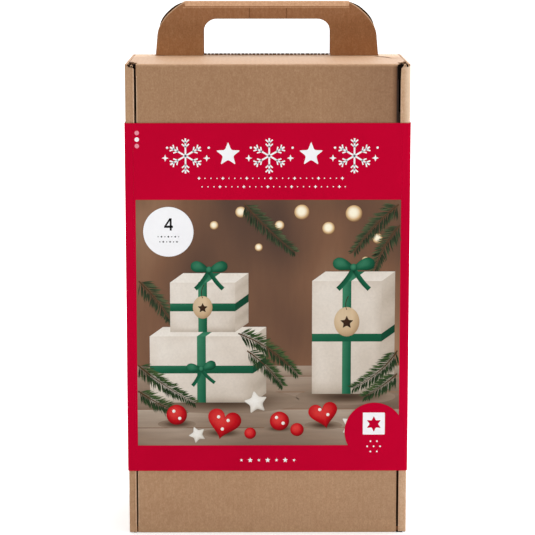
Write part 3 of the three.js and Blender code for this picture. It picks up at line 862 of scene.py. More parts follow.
def band_wrap():
    """Paper round the box: a sheet on the lid, and a piece with softly turned corners round the rest."""
    def ring(offset):
        radius = BAND_ROUND + offset
        near = -BAND_CORNER_Y - radius
        line = [(BAND_END, near)]
        for right, rear, start in ((1, -1, -90), (1, 1, 0), (-1, 1, 90), (-1, -1, 180)):
            line += arc(right * BAND_CORNER_X, rear * BAND_CORNER_Y, radius, start, start + 90, 7)
        return line + [(-BAND_END, near)]

    levels = steps(BAND_LOW, BAND_HIGH, BAND_MESH)
    sides = Builder()
    sides.prism([[(x + wobble(x, y, z, 60, 0.10),
                   y + wobble(x + 50, y, z, 60, 0.10 if abs(x) > 92 else 0.0), z)
                  for x, y in ring(0.0) + ring(-BAND_PAPER)[::-1]] for z in levels])
    sides.piece("band_sides", RED_PAPER, "tray", "red_paper", smooth=True, stands_for="band_wrap")
    seam = Builder()
    line = Builder()
    rows = []
    for z in steps(BAND_LOW + 0.2, BAND_HIGH - 0.2, 6):
        edge = SEAM_X + wobble(z, 0, 0, 40, 0.3)
        rows.append([(edge + 30, 50.6, z), (edge + 14, 50.695, z), (edge, 50.69, z), (edge, 50.67, z),
                     (edge, 50.68, z), (edge - 0.45, 50.69, z)])
    seam.grid([row[:4] for row in rows])
    seam.piece("band_seam", RED_PAPER, "tray", "red_paper")
    line.grid([row[4:] for row in rows])
    line.piece("band_seam_shadow", RED_SHADE, "tray", "red_paper")
    front = Builder()
    across = steps(-SHEET_HALF, SHEET_HALF, 12)
    front.prism([[(x, BAND_FACE, z) for x in across] + [(x, SHEET_BACK, z) for x in reversed(across)]
                 for z in levels])
    front.piece("band_sheet", RED_PAPER, "lid", "red_paper", stands_for="band_front")


# Shapes of ink for the printed picture on the band, in thin layers

INK_STEP = 0.018
LIGHT_FROM = (-0.45, 0.62)


def layer(number):
    return BAND_FACE - INK_STEP * number


def printed(built, name, *tones, ink=None, **how):
    """A layer of ink on the lid, with its tones from dark to light."""
    built.piece(f"print_{name}", print_paint(f"printed_{ink or name}", *tones, **how), "lid", "red_paper")


def patch(built, corners, y, shade, across=8, up=8):
    """A four-cornered area. The corners go round from the lower left, and shade(u, v) gives the tone."""
    a, b, c, d = corners
    rows = []
    tones = []
    for v in (j / up for j in range(up + 1)):
        left, right = between(a, d, v), between(b, c, v)
        places = [(u, between(left, right, u)) for u in (i / across for i in range(across + 1))]
        rows.append([(x, y, z) for _, (x, z) in places])
        tones += [clamped(shade(u, v)) for u, _ in places]
    built.grid(rows, tones=tones)


def shaded(built, outline, centre, y, rings, tone):
    """An outline filled in rings. The tone comes from a ring's share and how far a place faces the light."""
    cx, cz = centre
    count = len(outline)
    following = [(i + 1) % count for i in range(count)]
    points = [(cx, y, cz)]
    tones = [clamped(tone(0.0, 0.0))]
    faces = [(0, 1 + i, 1 + j) for i, j in enumerate(following)]
    for ring in range(1, rings + 1):
        share = ring / rings
        for px, pz in outline:
            dx, dz = px - cx, pz - cz
            toward = (dx * LIGHT_FROM[0] + dz * LIGHT_FROM[1]) / (math.hypot(dx, dz) or 1)
            points.append((cx + dx * share, y, cz + dz * share))
            tones.append(clamped(tone(share, toward)))
        if ring > 1:
            near = 1 + (ring - 2) * count
            faces += [(near + i, near + count + i, near + count + j, near + j)
                      for i, j in enumerate(following)]
    built.add(points, faces, tones)


def puff(built, outline, centre, y, base=0.62, depth=0.34, rings=6):
    """A shape that looks soft and rounded: darker to its rim, lighter towards the light."""
    shaded(built, outline, centre, y, rings,
           lambda share, toward: base + depth * (0.5 - share ** 2.2) + 0.34 * toward * share)


def circle(cx, cz, radius, count=28, squeeze=1.0):
    return [(cx + radius * math.cos(a), cz + radius * squeeze * math.sin(a)) for a in around(count)]


def star(cx, cz, radius, points=5, waist=0.5, turn=0.0, soft=3):
    """A star with slightly rounded tips."""
    corners = []
    for i in range(points * 2):
        reach = radius if i % 2 == 0 else radius * waist
        angle = math.radians(90 + turn) + math.pi * i / points
        corners.append((cx + reach * math.cos(angle), cz + reach * math.sin(angle)))
    return rounded(corners, soft)


def rounded(corners, soft=3, cut=0.22):
    """The same outline with each corner cut back and bent."""
    made = []
    for i, corner in enumerate(corners):
        following = corners[(i + 1) % len(corners)]
        made += bend(between(corner, corners[i - 1], cut), corner, between(corner, following, cut), soft)
    return made


def turned_by(x, z, degrees):
    a = math.radians(degrees)
    return x * math.cos(a) - z * math.sin(a), x * math.sin(a) + z * math.cos(a)


def heart(cx, cz, size, turn=0.0):
    made = []
    for t in around(40):
        x = 16 * math.sin(t) ** 3
        z = 13 * math.cos(t) - 5 * math.cos(2 * t) - 2 * math.cos(3 * t) - math.cos(4 * t)
        x, z = turned_by(x * size / 16, z * size / 16, turn)
        made.append((cx + x, cz + z))
    return made[::-1]


def stroke(built, path, width, y, tone=0.5, taper=False):
    """A drawn line of the given width."""
    rows = []
    for i, (x, z) in enumerate(path):
        nx, nz = beside(path, i)
        half = width / 2 * ((1 - i / (len(path) - 1)) * 0.8 + 0.2 if taper else 1)
        rows.append([(x + nx * half, y, z + nz * half), (x - nx * half, y, z - nz * half)])
    built.grid(rows, tones=[min(1.0, tone + 0.16), max(0.0, tone - 0.12)] * len(path))


def twig(needles, stems, path, y, seed, length):
    """A fir twig: a stem with a row of flat needles on both sides."""
    source = random.Random(seed)
    line = dense(path, 0.62)
    stroke(stems, line, 1.0, y, 0.45, taper=True)
    for i in range(2, len(line)):
        x, z = line[i]
        heading = math.atan2(z - line[i - 1][1], x - line[i - 1][0])
        reach = length * (1 - 0.55 * (i / len(line)) ** 2) * source.uniform(0.8, 1.1)
        for sign in (-1, 1):
            angle = heading + sign * math.radians(source.uniform(34, 56))
            dx, dz = math.cos(angle), math.sin(angle)
            nx, nz = -dz * 0.425, dx * 0.425
            mid = (x + reach * 0.55 * dx, z + reach * 0.55 * dz)
            tone = source.uniform(0.15, 0.6) + (0.25 if sign * math.cos(heading) > 0 else 0.0)
            shift = y - source.uniform(0.001, 0.012)
            needles.add([(x, shift, z), (mid[0] - nx, shift, mid[1] - nz),
                         (x + reach * dx, shift, z + reach * dz), (mid[0] + nx, shift, mid[1] + nz)],
                        [(0, 1, 2, 3)], [tone * 0.6, tone, min(1.0, tone + 0.2), tone])


def bow(built, cx, cz, size, y, turn=0.0):
    """Ribbon bow: two loops, two tails and a knot."""
    def place(x, z):
        x, z = turned_by(x, z, turn)
        return (cx + x * size, cz + z * size)

    for sign in (-1, 1):
        tail = bend((0, 0), (sign * 0.35, -0.7), (sign * 0.85, -1.15), 8)
        stroke(built, [place(x, z) for x, z in tail], 0.26 * size, y, 0.42)
    loop = ([(0, 0.08)] + bend((0.1, 0.2), (0.75, 0.85), (1.1, 0.42), 7)
            + bend((1.1, 0.42), (1.25, 0.0), (0.75, -0.12), 5) + [(0.1, -0.1)])
    for sign in (-1, 1):
        outline = [place(x, z) for x, z in mirrored(loop, sign)][::-sign]
        puff(built, outline, place(sign * 0.6, 0.2), y - 0.006, 0.5, 0.4, 4)
    knot = [place(x, z) for x, z in circle(0, 0.04, 0.19, 12, 1.15)]
    puff(built, knot, place(0, 0.04), y - 0.012, 0.6, 0.4, 3)


# The printed picture: a winter table with wrapped parcels, felt shapes and fir twigs

def picture():
    wall_and_table()
    lights_and_shadows()
    cloth = Builder()
    ribbons = Builder()
    parcels(cloth, ribbons)
    fir_twigs()
    felt_shapes()
    parcel_tags()
    printed(cloth, "parcels", (128, 114, 100), (196, 182, 166), (226, 215, 202), (243, 236, 226), scale=700,
            ink="cloth")
    printed(ribbons, "ribbons", (8, 44, 30), (22, 92, 64), (74, 146, 112), scale=500, ink="ribbon")


def wall_and_table():
    left, right, low, high = -88.6, 89.4, 62.0, 231.3
    paint = Paint("printed_wall", 0.4, Specular_IOR_Level=0.2)
    base = paint.ramp(paint.noise(11, 2, (1, 1, 0.55)), (0.30, rgb(70, 43, 27)), (0.48, rgb(118, 80, 54)),
                      (0.7, rgb(168, 130, 98)))
    base = paint.tint(base, paint.noise(260, 3, (1, 1, 0.2)), 0.3, rgb(62, 38, 24))
    wall = Builder()
    patch(wall, [(left, low), (right, low), (right, high), (left, high)], layer(1), lambda u, v: 0.5, 2, 2)
    wall.piece("print_wall", paint.colour(base), "lid", "red_paper")
    table = Builder()
    edges = [low, 74.5, 87.5, 99.5, 110.5, 118.0]
    for number, (z0, z1) in enumerate(zip(edges, edges[1:])):
        bright = 0.45 + 0.14 * math.sin(number * 2.1)
        patch(table, [(left, z0), (right, z0), (right, z1 - 0.45), (left, z1 - 0.45)], layer(2),
              lambda u, v: bright + 0.22 * (v - 0.3) + 0.12 * math.sin(u * 9 + number), 24, 3)
    printed(table, "table", (96, 76, 62), (158, 136, 117), (206, 190, 172), grain=0.24, scale=300,
            stretch=(0.10, 1, 1))


def lights_and_shadows():
    glow = Builder()
    for x, z, radius, tone in (
            (23, 223, 3.8, 0.9), (41, 212, 3.2, 0.85), (8, 214, 2.4, 0.6), (58, 222, 4.2, 0.7),
            (-18, 223, 2.8, 0.55), (74, 205, 2.6, 0.5), (-36, 214, 2.2, 0.4), (66, 190, 2.0, 0.45),
            (-6, 199, 2.0, 0.4)):
        puff(glow, circle(x, z, radius * 1.35), (x, z), layer(3), 0.5 + 0.12 * tone, 0.95, 8)
    printed(glow, "lights", (112, 76, 50), (214, 178, 128), (255, 247, 222), grain=0.02)
    shadows = Builder()
    for x, z, radius, squeeze in ((-30, 93, 52, 0.17), (53, 96, 34, 0.17), (-30, 70.5, 15, 0.22),
                                  (8, 73.5, 11, 0.24), (-62, 77, 13, 0.24), (38, 76, 13, 0.24)):
        shaded(shadows, circle(x, z, radius, 36, squeeze), (x, z), layer(3), 7,
               lambda share, toward: 0.05 + 0.9 * smooth_step(share))
    printed(shadows, "shadows", (62, 46, 35), (110, 90, 74), (156, 135, 116), grain=0.2, scale=300,
            stretch=(0.10, 1, 1))


def parcel(cloth, ribbons, x0, z0, wide, tall, step, bright):
    """A wrapped parcel seen from the left and above, with soft folds and a ribbon both ways."""
    y = layer(step)
    deep, lift = 9.0, 6.5

    def front(u, v):
        return (x0 + wide * u, z0 + tall * v)

    def side(u, v):
        return (x0 + wide + deep * u, z0 + lift * u + tall * v)

    def top(u, v):
        return (x0 + wide * u + deep * v, z0 + tall + lift * v)

    def area(built, face, u0, v0, u1, v1, depth, shade, across, up):
        patch(built, [face(u0, v0), face(u1, v0), face(u1, v1), face(u0, v1)], depth,
              lambda u, v: shade(u0 + (u1 - u0) * u, v0 + (v1 - v0) * v), across, up)

    def fold(u, v):
        """Wrinkles that run out from the corners and the ribbon."""
        wave = math.sin(u * 14 + v * 6 + x0) * 0.5 + math.sin(v * 19 - u * 8 + x0) * 0.35
        edge = 1 - min(1.0, 9 * min(u, 1 - u, v + 0.02, 1 - v))
        return 0.06 * wave - 0.13 * edge

    area(cloth, front, 0, 0, 1, 1, y, lambda u, v: bright - 0.2 * u + 0.22 * (v - 0.5) + fold(u, v)
         - 0.22 * max(0.0, 0.12 - v) / 0.12, 40, 30)
    area(cloth, side, 0, 0, 1, 1, y,
         lambda u, v: bright * 0.42 + 0.12 * v - 0.1 * u + 0.05 * math.sin(v * 21), 8, 16)
    area(cloth, top, 0, 0, 1, 1, y,
         lambda u, v: bright + 0.2 - 0.08 * u - 0.1 * v + 0.04 * math.sin(u * 15), 20, 5)
    half = 3.0 / wide
    thick = 2.7 / tall
    area(ribbons, front, 0.5 - half, 0, 0.5 + half, 1, y - 0.006,
         lambda u, v: 0.58 - 2.6 * (u - 0.5) + 0.16 * v, 5, 12)
    area(ribbons, top, 0.5 - half, 0, 0.5 + half, 1, y - 0.006, lambda u, v: 0.86 - 0.3 * v, 4, 4)
    area(ribbons, front, 0, 0.5 - thick, 1, 0.5 + thick, y - 0.009,
         lambda u, v: 0.56 - 0.14 * u + 1.6 * (v - 0.5), 14, 4)
    area(ribbons, side, 0, 0.5 - thick, 1, 0.5 + thick, y - 0.009, lambda u, v: 0.24 - 0.1 * u, 4, 3)
    return top(0.5, 0.5)


def parcels(cloth, ribbons):
    x, z = parcel(cloth, ribbons, 30, 98, 47, 78, 6, 0.72)
    parcel(cloth, ribbons, -80, 92, 70, 46, 7, 0.76)
    upper_x, upper_z = parcel(cloth, ribbons, -66, 141, 44, 34, 8, 0.82)
    bow(ribbons, x, z + 5.5, 12.5, layer(10))
    bow(ribbons, upper_x, upper_z + 5, 11, layer(10))
    bow(ribbons, -45, 115, 9, layer(10), 8)


def fir_twigs():
    stems = Builder()
    behind = (((88, 228), (70, 214), (58, 196)), ((89, 214), (78, 202), (72, 184)),
              ((-16, 229), (0, 210), (18, 196)), ((-87, 176), (-76, 166), (-66, 150)))
    before = (((-88, 118), (-72, 104), (-50, 92)), ((-88, 100), (-74, 90), (-58, 84)),
              ((-20, 140), (2, 132), (20, 112)), ((-14, 128), (0, 118), (10, 104)),
              ((88, 128), (78, 112), (58, 102)), ((88, 112), (80, 104), (66, 96)))
    for paths, depth, seed, length, name, grain, tones in (
            (behind, 5, 20, 9.5, "fir_back", 0.12, ((24, 28, 18), (54, 66, 44), (98, 106, 74))),
            (before, 10, 40, 9.0, "fir", 0.14, ((16, 24, 14), (44, 66, 38), (92, 112, 66)))):
        needles = Builder()
        for number, path in enumerate(paths):
            twig(needles, stems, bend(*path), layer(depth), seed + number, length)
        printed(needles, name, *tones, grain=grain)
    printed(stems, "stems", (52, 34, 22), (92, 64, 42), (130, 98, 68), grain=0.16)


def felt_shapes():
    red = Builder()
    white = Builder()
    for x, z, size, turn in ((-30, 78, 11.5, -14), (38, 84, 10, 12)):
        puff(red, heart(x, z, size, turn), (x, z), layer(12), 0.55, 0.5, 7)
    for x, z, r in ((8, 79, 6.6), (-62, 83.5, 7.0), (20, 73, 4.6), (-12, 70.5, 4.0)):
        puff(red, circle(x, z, r, 30), (x - r * 0.1, z + r * 0.1), layer(12), 0.55, 0.6, 7)
    for x, z, r, turn in ((-8, 92, 8.5, 10), (58, 76, 8.8, -16), (-48, 69.5, 6.2, 24)):
        puff(white, star(x, z, r, 5, 0.52, turn), (x, z), layer(13), 0.66, 0.4)
    for x, z in ((-33.5, 82), (-27, 79.5), (-31, 73.5), (35.5, 87), (41, 83.5), (6, 81.5), (10.5, 77.5),
                 (-64, 86), (-60, 81)):
        puff(white, circle(x, z, 1.15, 14), (x, z), layer(13), 0.85, 0.2, 3)
    printed(red, "felt_red", (112, 2, 12), (196, 14, 26), (240, 74, 70), grain=0.16, scale=900)
    printed(white, "felt_white", (150, 140, 128), (224, 217, 206), (252, 249, 243), scale=900)


def parcel_tags():
    tags = Builder()
    marks = Builder()
    for x, z, r in ((53.5, 148, 8.6), (-44, 158, 6.6)):
        puff(tags, circle(x, z, r, 32, 1.18), (x, z), layer(11), 0.62, 0.3)
        puff(marks, star(x, z - 0.5, r * 0.56, 5, 0.45, 0, 2), (x, z - 0.5), layer(12), 0.4, 0.2, 3)
        stroke(marks, bend((x, z + r * 0.95), (x - 2, z + r + 4), (x + 1, z + r + 9), 8), 0.45, layer(12))
    printed(tags, "tags", (140, 104, 72), (206, 176, 138), (236, 214, 180), grain=0.16, scale=200,
            stretch=(1, 1, 0.2))
    printed(marks, "tag_marks", (38, 24, 16), (74, 48, 32))


# White ornament in the places of the words: stars, snow crystals, rows of dots, disc and tag

def flat_star(built, x, z, radius, points, waist, soft=2, depth=3, tone=0.9):
    puff(built, star(x, z, radius, points, waist, 0, soft), (x, z), layer(depth), tone, 0.0, 2)


def flat_dot(built, x, z, radius, count, depth=3, tone=0.9, rings=2):
    puff(built, circle(x, z, radius, count), (x, z), layer(depth), tone, 0.0, rings)


def crystal(built, cx, cz, reach, width):
    """Six arms, each with two pairs of short branches."""
    def line(x, z, length, angle, width):
        end = (x + length * math.cos(angle), z + length * math.sin(angle))
        stroke(built, [(x, z), ((x + end[0]) / 2, (z + end[1]) / 2), end], width, layer(3), 0.9)

    for k in range(6):
        a = math.radians(30 + 60 * k)
        line(cx, cz, reach, a, width)
        for share in (0.5, 0.74):
            for sign in (-1, 1):
                line(cx + reach * share * math.cos(a), cz + reach * share * math.sin(a), reach * 0.27,
                     a + sign * math.radians(48), width * 0.8)


def white_marks():
    white = Builder()
    pink = Builder()
    for built, z in ((pink, 276.4), (white, 272.0), (pink, 267.6)):
        flat_dot(built, -87.4, z, 1.5, 20)
    for number, x in enumerate((-55, -26.5, 1, 29, 58)):
        if number % 2 == 0:
            crystal(white, x, 261, 11.8, 1.15)
        else:
            flat_star(white, x, 262, 8.6, 5, 0.42, 3)
    for x in (-40.8, -12.7, 15.2, 43.6, 72.0, -68.6):
        flat_star(white, x, 259.5, 2.5, 4, 0.34)
        flat_dot(white, x + 1.4, 266.5, 0.8, 12)
    for row, z in enumerate((245.9, 240.2)):
        for k in range(25):
            x = -46 + k * 4 + 2 * row
            if (k + row) % 4 == 0:
                flat_star(white, x, z, 1.25, 4, 0.45)
            else:
                flat_dot(white, x, z, 0.42, 10)
    for k in range(7):
        flat_star(white, -18 + k * 6, 51.5, 1.9 if k % 2 else 1.2, 5, 0.42)

    sticker = Builder()
    flat_dot(sticker, -66.8, 209.7, 16.9, 64, 15, rings=3)
    disc = Builder()
    flat_dot(disc, 72.7, 71.5, 20.3, 64, 15, 0.5, 3)
    square = rounded([(64.9, 69.5), (79.9, 69.5), (79.9, 84.9), (64.9, 84.9)], 3, 0.04)
    puff(white, square, (72.4, 77.2), layer(16), 0.9, 0.0, 2)
    flat_star(disc, 72.4, 76.9, 5.6, 6, 0.5, 3, 17, 0.5)
    for k in range(3):
        for j in range(2 + k % 2):
            flat_dot(white, 72.4 + (j - (1 + k % 2) / 2) * 4.4, 64.8 - k * 3.6, 0.6, 12, 16)
    white_paint = print_paint("printed_white", (238, 237, 240), (248, 248, 250), grain=0.01)
    white.piece("print_white_marks", white_paint, "lid", "red_paper")
    sticker.piece("print_sticker", white_paint, "lid", "red_paper")
    printed(pink, "pink_marks", (222, 120, 140), (236, 150, 166), grain=0.03, ink="pink")
    disc.piece("print_disc", RED_PAPER, "lid", "red_paper")

    figure = Builder()
    for corners in ([(0.64, 0), (0.86, 0), (0.86, 1), (0.64, 1)], [(0, 0.22), (1, 0.22), (1, 0.4), (0, 0.4)],
                    [(0, 0.34), (0.22, 0.34), (0.86, 1), (0.60, 1)]):
        outline = [(-69.6 + 5.9 * u, 210.6 + 8.3 * v) for u, v in corners]
        patch(figure, outline, layer(16), lambda u, v: 0.5, 2, 2)
    for row, z in enumerate((206.4, 202.9)):
        for k in range(7 - row):
            x = -66.8 + (k - (6 - row) / 2) * 2.3
            flat_star(figure, x, z, 0.85 if k % 2 else 0.55, 4, 0.5, 2, 16, 0.5)
    printed(figure, "number", (16, 14, 14), (34, 32, 32), grain=0.05, ink="black")


def cotton_paint():
    """Plain-woven cotton with soft creases."""
    dark, mid, light = rgb(196, 184, 166), rgb(226, 217, 202), rgb(240, 234, 223)
    paint = Paint("cotton", 0.9, Specular_IOR_Level=0.15, Sheen_Weight=0.25, Sheen_Roughness=0.5)
    base = paint.ramp(paint.noise(24, 3), (0.3, dark), (0.5, mid), (0.75, light))
    weave = paint.node("ShaderNodeMath", {0: paint.wave(0.9, "X", 0.4), 1: paint.wave(0.9, "Z", 0.4)},
                       operation="MULTIPLY").outputs[0]
    base = paint.tint(base, weave, 0.22, dark)
    slubs = paint.ramp(paint.noise(420, 3, (1, 1, 0.15)), (0.6, BLACK), (0.75, WHITE))
    base = paint.tint(base, slubs, 0.25, light)
    paint.bump(weave, 0.12, 0.5)
    paint.bump(paint.noise(90, 3), 0.4, 0.35)
    return paint.colour(base)


def wool_paint(name, dark, mid, light):
    """Carded wool: long soft fibres with a sheen."""
    paint = Paint(name, 1.0, Specular_IOR_Level=0.1, Sheen_Weight=0.7, Sheen_Roughness=0.6)
    base = paint.ramp(paint.noise(160, 5, (0.25, 1, 1)), (0.3, dark), (0.5, mid), (0.72, light))
    base = paint.tint(base, paint.noise(1800, 4, (0.1, 1, 1)), 0.4, light)
    paint.bump(paint.noise(1500, 4, (0.12, 1, 1)), 0.25, 0.8)
    return paint.colour(base)


def foam_paint():
    paint = Paint("foam", 0.95, Specular_IOR_Level=0.15)
    base = paint.ramp(paint.noise(30, 2), (0.35, rgb(120, 123, 128)), (0.65, rgb(142, 145, 150)))
    pores = paint.node("ShaderNodeTexVoronoi", {"Scale": 900, "Vector": paint.place}).outputs["Distance"]
    base = paint.tint(base, paint.ramp(pores, (0.10, WHITE), (0.34, BLACK)), 0.75, rgb(58, 60, 64))
    paint.bump(pores, 0.3, 0.6)
    return paint.colour(base)


def wood_paint(name, centre):
    """Slice across a branch, with its growth rings round the given centre."""
    paint = Paint(name, 0.7, Specular_IOR_Level=0.3)
    away = tuple(-c * MM for c in centre)
    shift = paint.node("ShaderNodeMapping", {"Location": away, "Vector": paint.place})
    squeeze = paint.node("ShaderNodeMapping", {"Scale": (0.7, 1.0, 0.0), "Vector": shift.outputs[0]})
    sockets = {"Vector": squeeze.outputs[0], "Scale": 260, "Distortion": 2.2, "Detail": 2,
               "Detail Scale": 1.4}
    rings = paint.node("ShaderNodeTexWave", sockets, wave_type="RINGS",
                       rings_direction="SPHERICAL").outputs["Fac"]
    base = paint.ramp(rings, (0.0, rgb(190, 150, 104)), (0.5, rgb(216, 182, 138)), (1.0, rgb(228, 198, 158)))
    base = paint.tint(base, paint.noise(1400, 3), 0.3, rgb(170, 126, 82))
    paint.bump(rings, 0.05, 0.5)
    return paint.colour(base)


def bark_paint(name):
    paint = Paint(name, 0.95, Specular_IOR_Level=0.1)
    base = paint.ramp(paint.noise(500, 4, (1, 1, 0.4)), (0.35, rgb(46, 30, 20)), (0.65, rgb(104, 74, 50)))
    paint.bump(paint.noise(700, 4), 0.4, 0.8)
    return paint.colour(base)


def plastic_paint(name, colour, dark, cover=1.0):
    paint = Paint(name, 0.3, Specular_IOR_Level=0.5, Alpha=cover, IOR=1.46)
    base = paint.ramp(paint.noise(70, 2), (0.3, dark), (0.7, colour))
    paint.bump(paint.noise(400, 2), 0.02, 0.3)
    return paint.colour(base)


def steel_paint():
    paint = Paint("needle_steel", 0.3, Metallic=1.0)
    base = paint.ramp(paint.noise(900, 3, (1, 1, 0.1)), (0.3, rgb(150, 153, 158)), (0.7, rgb(204, 206, 210)))
    paint.bump(paint.noise(2500, 2, (1, 1, 0.1)), 0.01, 0.3)
    return paint.colour(base)


def satin_paint():
    paint = Paint("green_satin", 0.38, Specular_IOR_Level=0.45, Sheen_Weight=0.4)
    base = paint.ramp(paint.noise(120, 2), (0.3, rgb(12, 74, 46)), (0.7, rgb(28, 110, 72)))
    rib = paint.wave(0.7, "Z", 0.1)
    base = paint.tint(base, rib, 0.25, rgb(8, 52, 32))
    paint.bump(rib, 0.06, 0.4)
    return paint.colour(base)


def leaflet_paint():
    paint = Paint("leaflet", 0.6, Specular_IOR_Level=0.3)
    base = paint.ramp(paint.noise(20, 2), (0.3, rgb(228, 224, 215)), (0.7, rgb(243, 240, 233)))
    base = paint.tint(base, paint.noise(1500, 3), 0.12, rgb(196, 190, 178))
    paint.bump(paint.noise(40, 2), 0.2, 0.3)
    return paint.colour(base)


COTTON = cotton_paint()
SATIN = satin_paint()
LEAFLET_INK = print_paint("leaflet_ink", (60, 20, 26), (96, 34, 40))


# Kit inside the box

def figure(name, number, size, weight, material, slot, place, upright):
    """A plain number as a flat mesh about a place in millimetres, that stands up or lies."""
    curve = bpy.data.curves.new(name, "FONT")
    curve.body = str(number)
    curve.size = size * MM
    curve.align_x = "CENTER"
    curve.align_y = "CENTER"
    curve.offset = weight * MM * 0.5
    curve.resolution_u = 6
    letter = new_object(name + "_curve", curve)
    mesh = bpy.data.meshes.new_from_object(letter.evaluated_get(bpy.context.evaluated_depsgraph_get()))
    bpy.data.objects.remove(letter)
    tone = mesh.attributes.new("tone", "FLOAT", "POINT")
    tone.data.foreach_set("value", [0.5] * len(mesh.vertices))
    x, y, z = (c * MM for c in place)
    for vertex in mesh.vertices:
        across, up = vertex.co.x, vertex.co.y
        vertex.co = (across + x, y, up + z) if upright else (across + x, up + y, z)
    obj = new_object(name, mesh)
    mesh.materials.clear()
    mesh.materials.append(material)
    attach(obj, "tray")


def foam_pad():
    """The felting pad, with rounded edges and a slightly uneven, used surface."""
    centre, half = middle_and_half(*node_box("felting_pad"))
    radius = 3.0
    built = Builder()

    def place(sharp):
        """A point of the pad's surface, from the same point of a sharp block."""
        core = [clamped(d, radius - h, h - radius) for d, h in zip(sharp, half)]
        away = Vector([d - c for d, c in zip(sharp, core)])
        away = away.normalized() * radius if away.length > 1e-6 else Vector()
        point = [c + a for c, a in zip(core, away)]
        sink = 0.5 * (0.5 + 0.5 * uneven(point[0] / 22 + 5, point[1] / 22, point[2] / 22))
        inner = [p * (1 - sink / max(6.0, h)) for p, h in zip(point, half)]
        inner[2] = max(-half[2], inner[2]) if point[2] > -half[2] + radius * 1.1 else point[2]
        return tuple(c + p for c, p in zip(centre, inner))

    for axis in range(3):
        u, v = [i for i in range(3) if i != axis]
        for sign in (-1, 1):
            rows = []
            for a in steps(-half[u], half[u], 5.0):
                row = []
                for b in steps(-half[v], half[v], 5.0):
                    sharp = [sign * half[axis]] * 3
                    sharp[u] = a
                    sharp[v] = b
                    row.append(place(sharp))
                rows.append(row)
            built.grid(rows[::-1] if (sign > 0) == (axis == 1) else rows)
    built.look_outward()
    obj = built.piece("foam_pad", foam_paint(), "tray", "foam", smooth=True, stands_for="felting_pad")
    weld = obj.modifiers.new("weld", "WELD")
    weld.merge_threshold = 0.00002


def squared(value, power):
    """A sine or cosine of a rounder or squarer outline."""
    return math.copysign(abs(value) ** power, value)


BAG_FOOT = node_box("gift_bag_1")[0][2]
BAG_MOUTH = node_box("gift_bag_1")[1][2]
BAG_NECK = 169.5
BAG_HALF = 70
BAG_ROUND = 14
BAG_LOW = 27.3
BAG_TOP = 204.9
BAG_THICK = 3.4
BAG_MESH = 4.2


def bag_half(z):
    """Half the width of a bag at a height: full, drawn in at the neck, wider at the mouth."""
    low = BAG_FOOT + BAG_ROUND
    if z < low:
        return BAG_HALF - BAG_ROUND + math.sqrt(max(0.0, BAG_ROUND ** 2 - (low - z) ** 2))
    if z < BAG_NECK:
        share = (z - low) / (BAG_NECK - low)
        return BAG_HALF - 22 * smooth_step((share - 0.72) / 0.28) - 1.2 * share
    return 46.8 + 11 * smooth_step((z - BAG_NECK) / (BAG_MOUTH - BAG_NECK))


def gift_bag(number):
    """Cotton bag, folded flat, open at its mouth and gathered at its neck by a ribbon."""
    middle = node_box(f"gift_bag_{number}")[1][1] - 3.5

    def loop(z, inset):
        half = bag_half(z) - inset
        neck = math.exp(-((z - BAG_NECK) / 15) ** 2)
        fill = 1.5 + 1.3 * math.sin(math.pi * min(1.0, (z - BAG_LOW) / 135) ** 0.8) - 0.5 * neck
        if z > 172:
            fill = 1.3 + 0.9 * (z - 172) / 33
        fill = max(0.45, fill * min(1.0, 0.25 + (z - BAG_LOW) / 16) - inset)
        row = []
        for a in around(96):
            x = half * squared(math.cos(a), 0.5)
            y = fill * squared(math.sin(a), 0.62)
            side = 1 if y > 0 else -1
            edge = min(1.0, (1 - abs(x) / half) * 6)
            pleat = math.sin(x * 0.52 + side * 1.1 + number) * 0.75 * (neck + 0.45 * (z > 172)) * edge
            crumple = (0.75 * uneven(x / 24 + number * 7, z / 30, side * 2.0)
                       + 0.3 * uneven(x / 9, z / 10 + number * 3, side * 4.0)) * edge
            y = clamped(y + pleat + crumple, inset - BAG_THICK, BAG_THICK - inset)
            z_shift = 1.6 * uneven(x / 16 + number, side, 3.0) if z > 200 else 0.0
            row.append((x, middle + y, min(BAG_TOP, z + z_shift)))
        return row

    levels = steps(BAG_LOW, BAG_TOP - 0.1, BAG_MESH)
    built = Builder()
    built.prism([loop(z, 0.0) for z in levels] + [loop(z, 0.32) for z in levels[1:]][::-1])
    bag = built.piece(f"cotton_bag_{number}", COTTON, "tray", "cotton", smooth=True,
                      stands_for=f"gift_bag_{number}")
    tie = Builder()
    around_neck = loop(BAG_NECK, 0.0)
    tie.grid([[(x * (1 + grow / 60),
                middle + clamped((y - middle) * 1.05 + math.copysign(grow * 0.6, y - middle), -3.45, 3.45), z)
               for x, y, _ in around_neck]
              for z, grow in ((166.4, 0.25), (166.6, 0.5), (BAG_NECK, 0.62), (172.4, 0.5), (172.6, 0.25))],
             closed=True)
    front = middle - 3.46
    knot = (0, BAG_NECK)
    for sign in (-1, 1):
        far = (sign * 25, 170)
        bow_loop = bend(knot, (sign * 20, 184), far, 10) + bend(far, (sign * 20, 162), knot, 10)[1:]
        tail = bend(knot, (sign * 7, 158), (sign * 12, 140 - number * 2), 12)
        for line, width in ((bow_loop, 5.4), (tail, 5.2)):
            rows = []
            for i, (x, z) in enumerate(line):
                nx, nz = beside(line, i)
                curl = 0.25 * math.sin(i * 0.9 + number)
                rows.append([(x - nx * width / 2, front + 0.3 + curl, z - nz * width / 2),
                             (x, front + 0.02, z),
                             (x + nx * width / 2, front + 0.3 - curl, z + nz * width / 2)])
            tie.grid(rows)
    ribbon = tie.piece(f"bag_ribbon_{number}", SATIN, "tray", "green_ribbon", smooth=True)


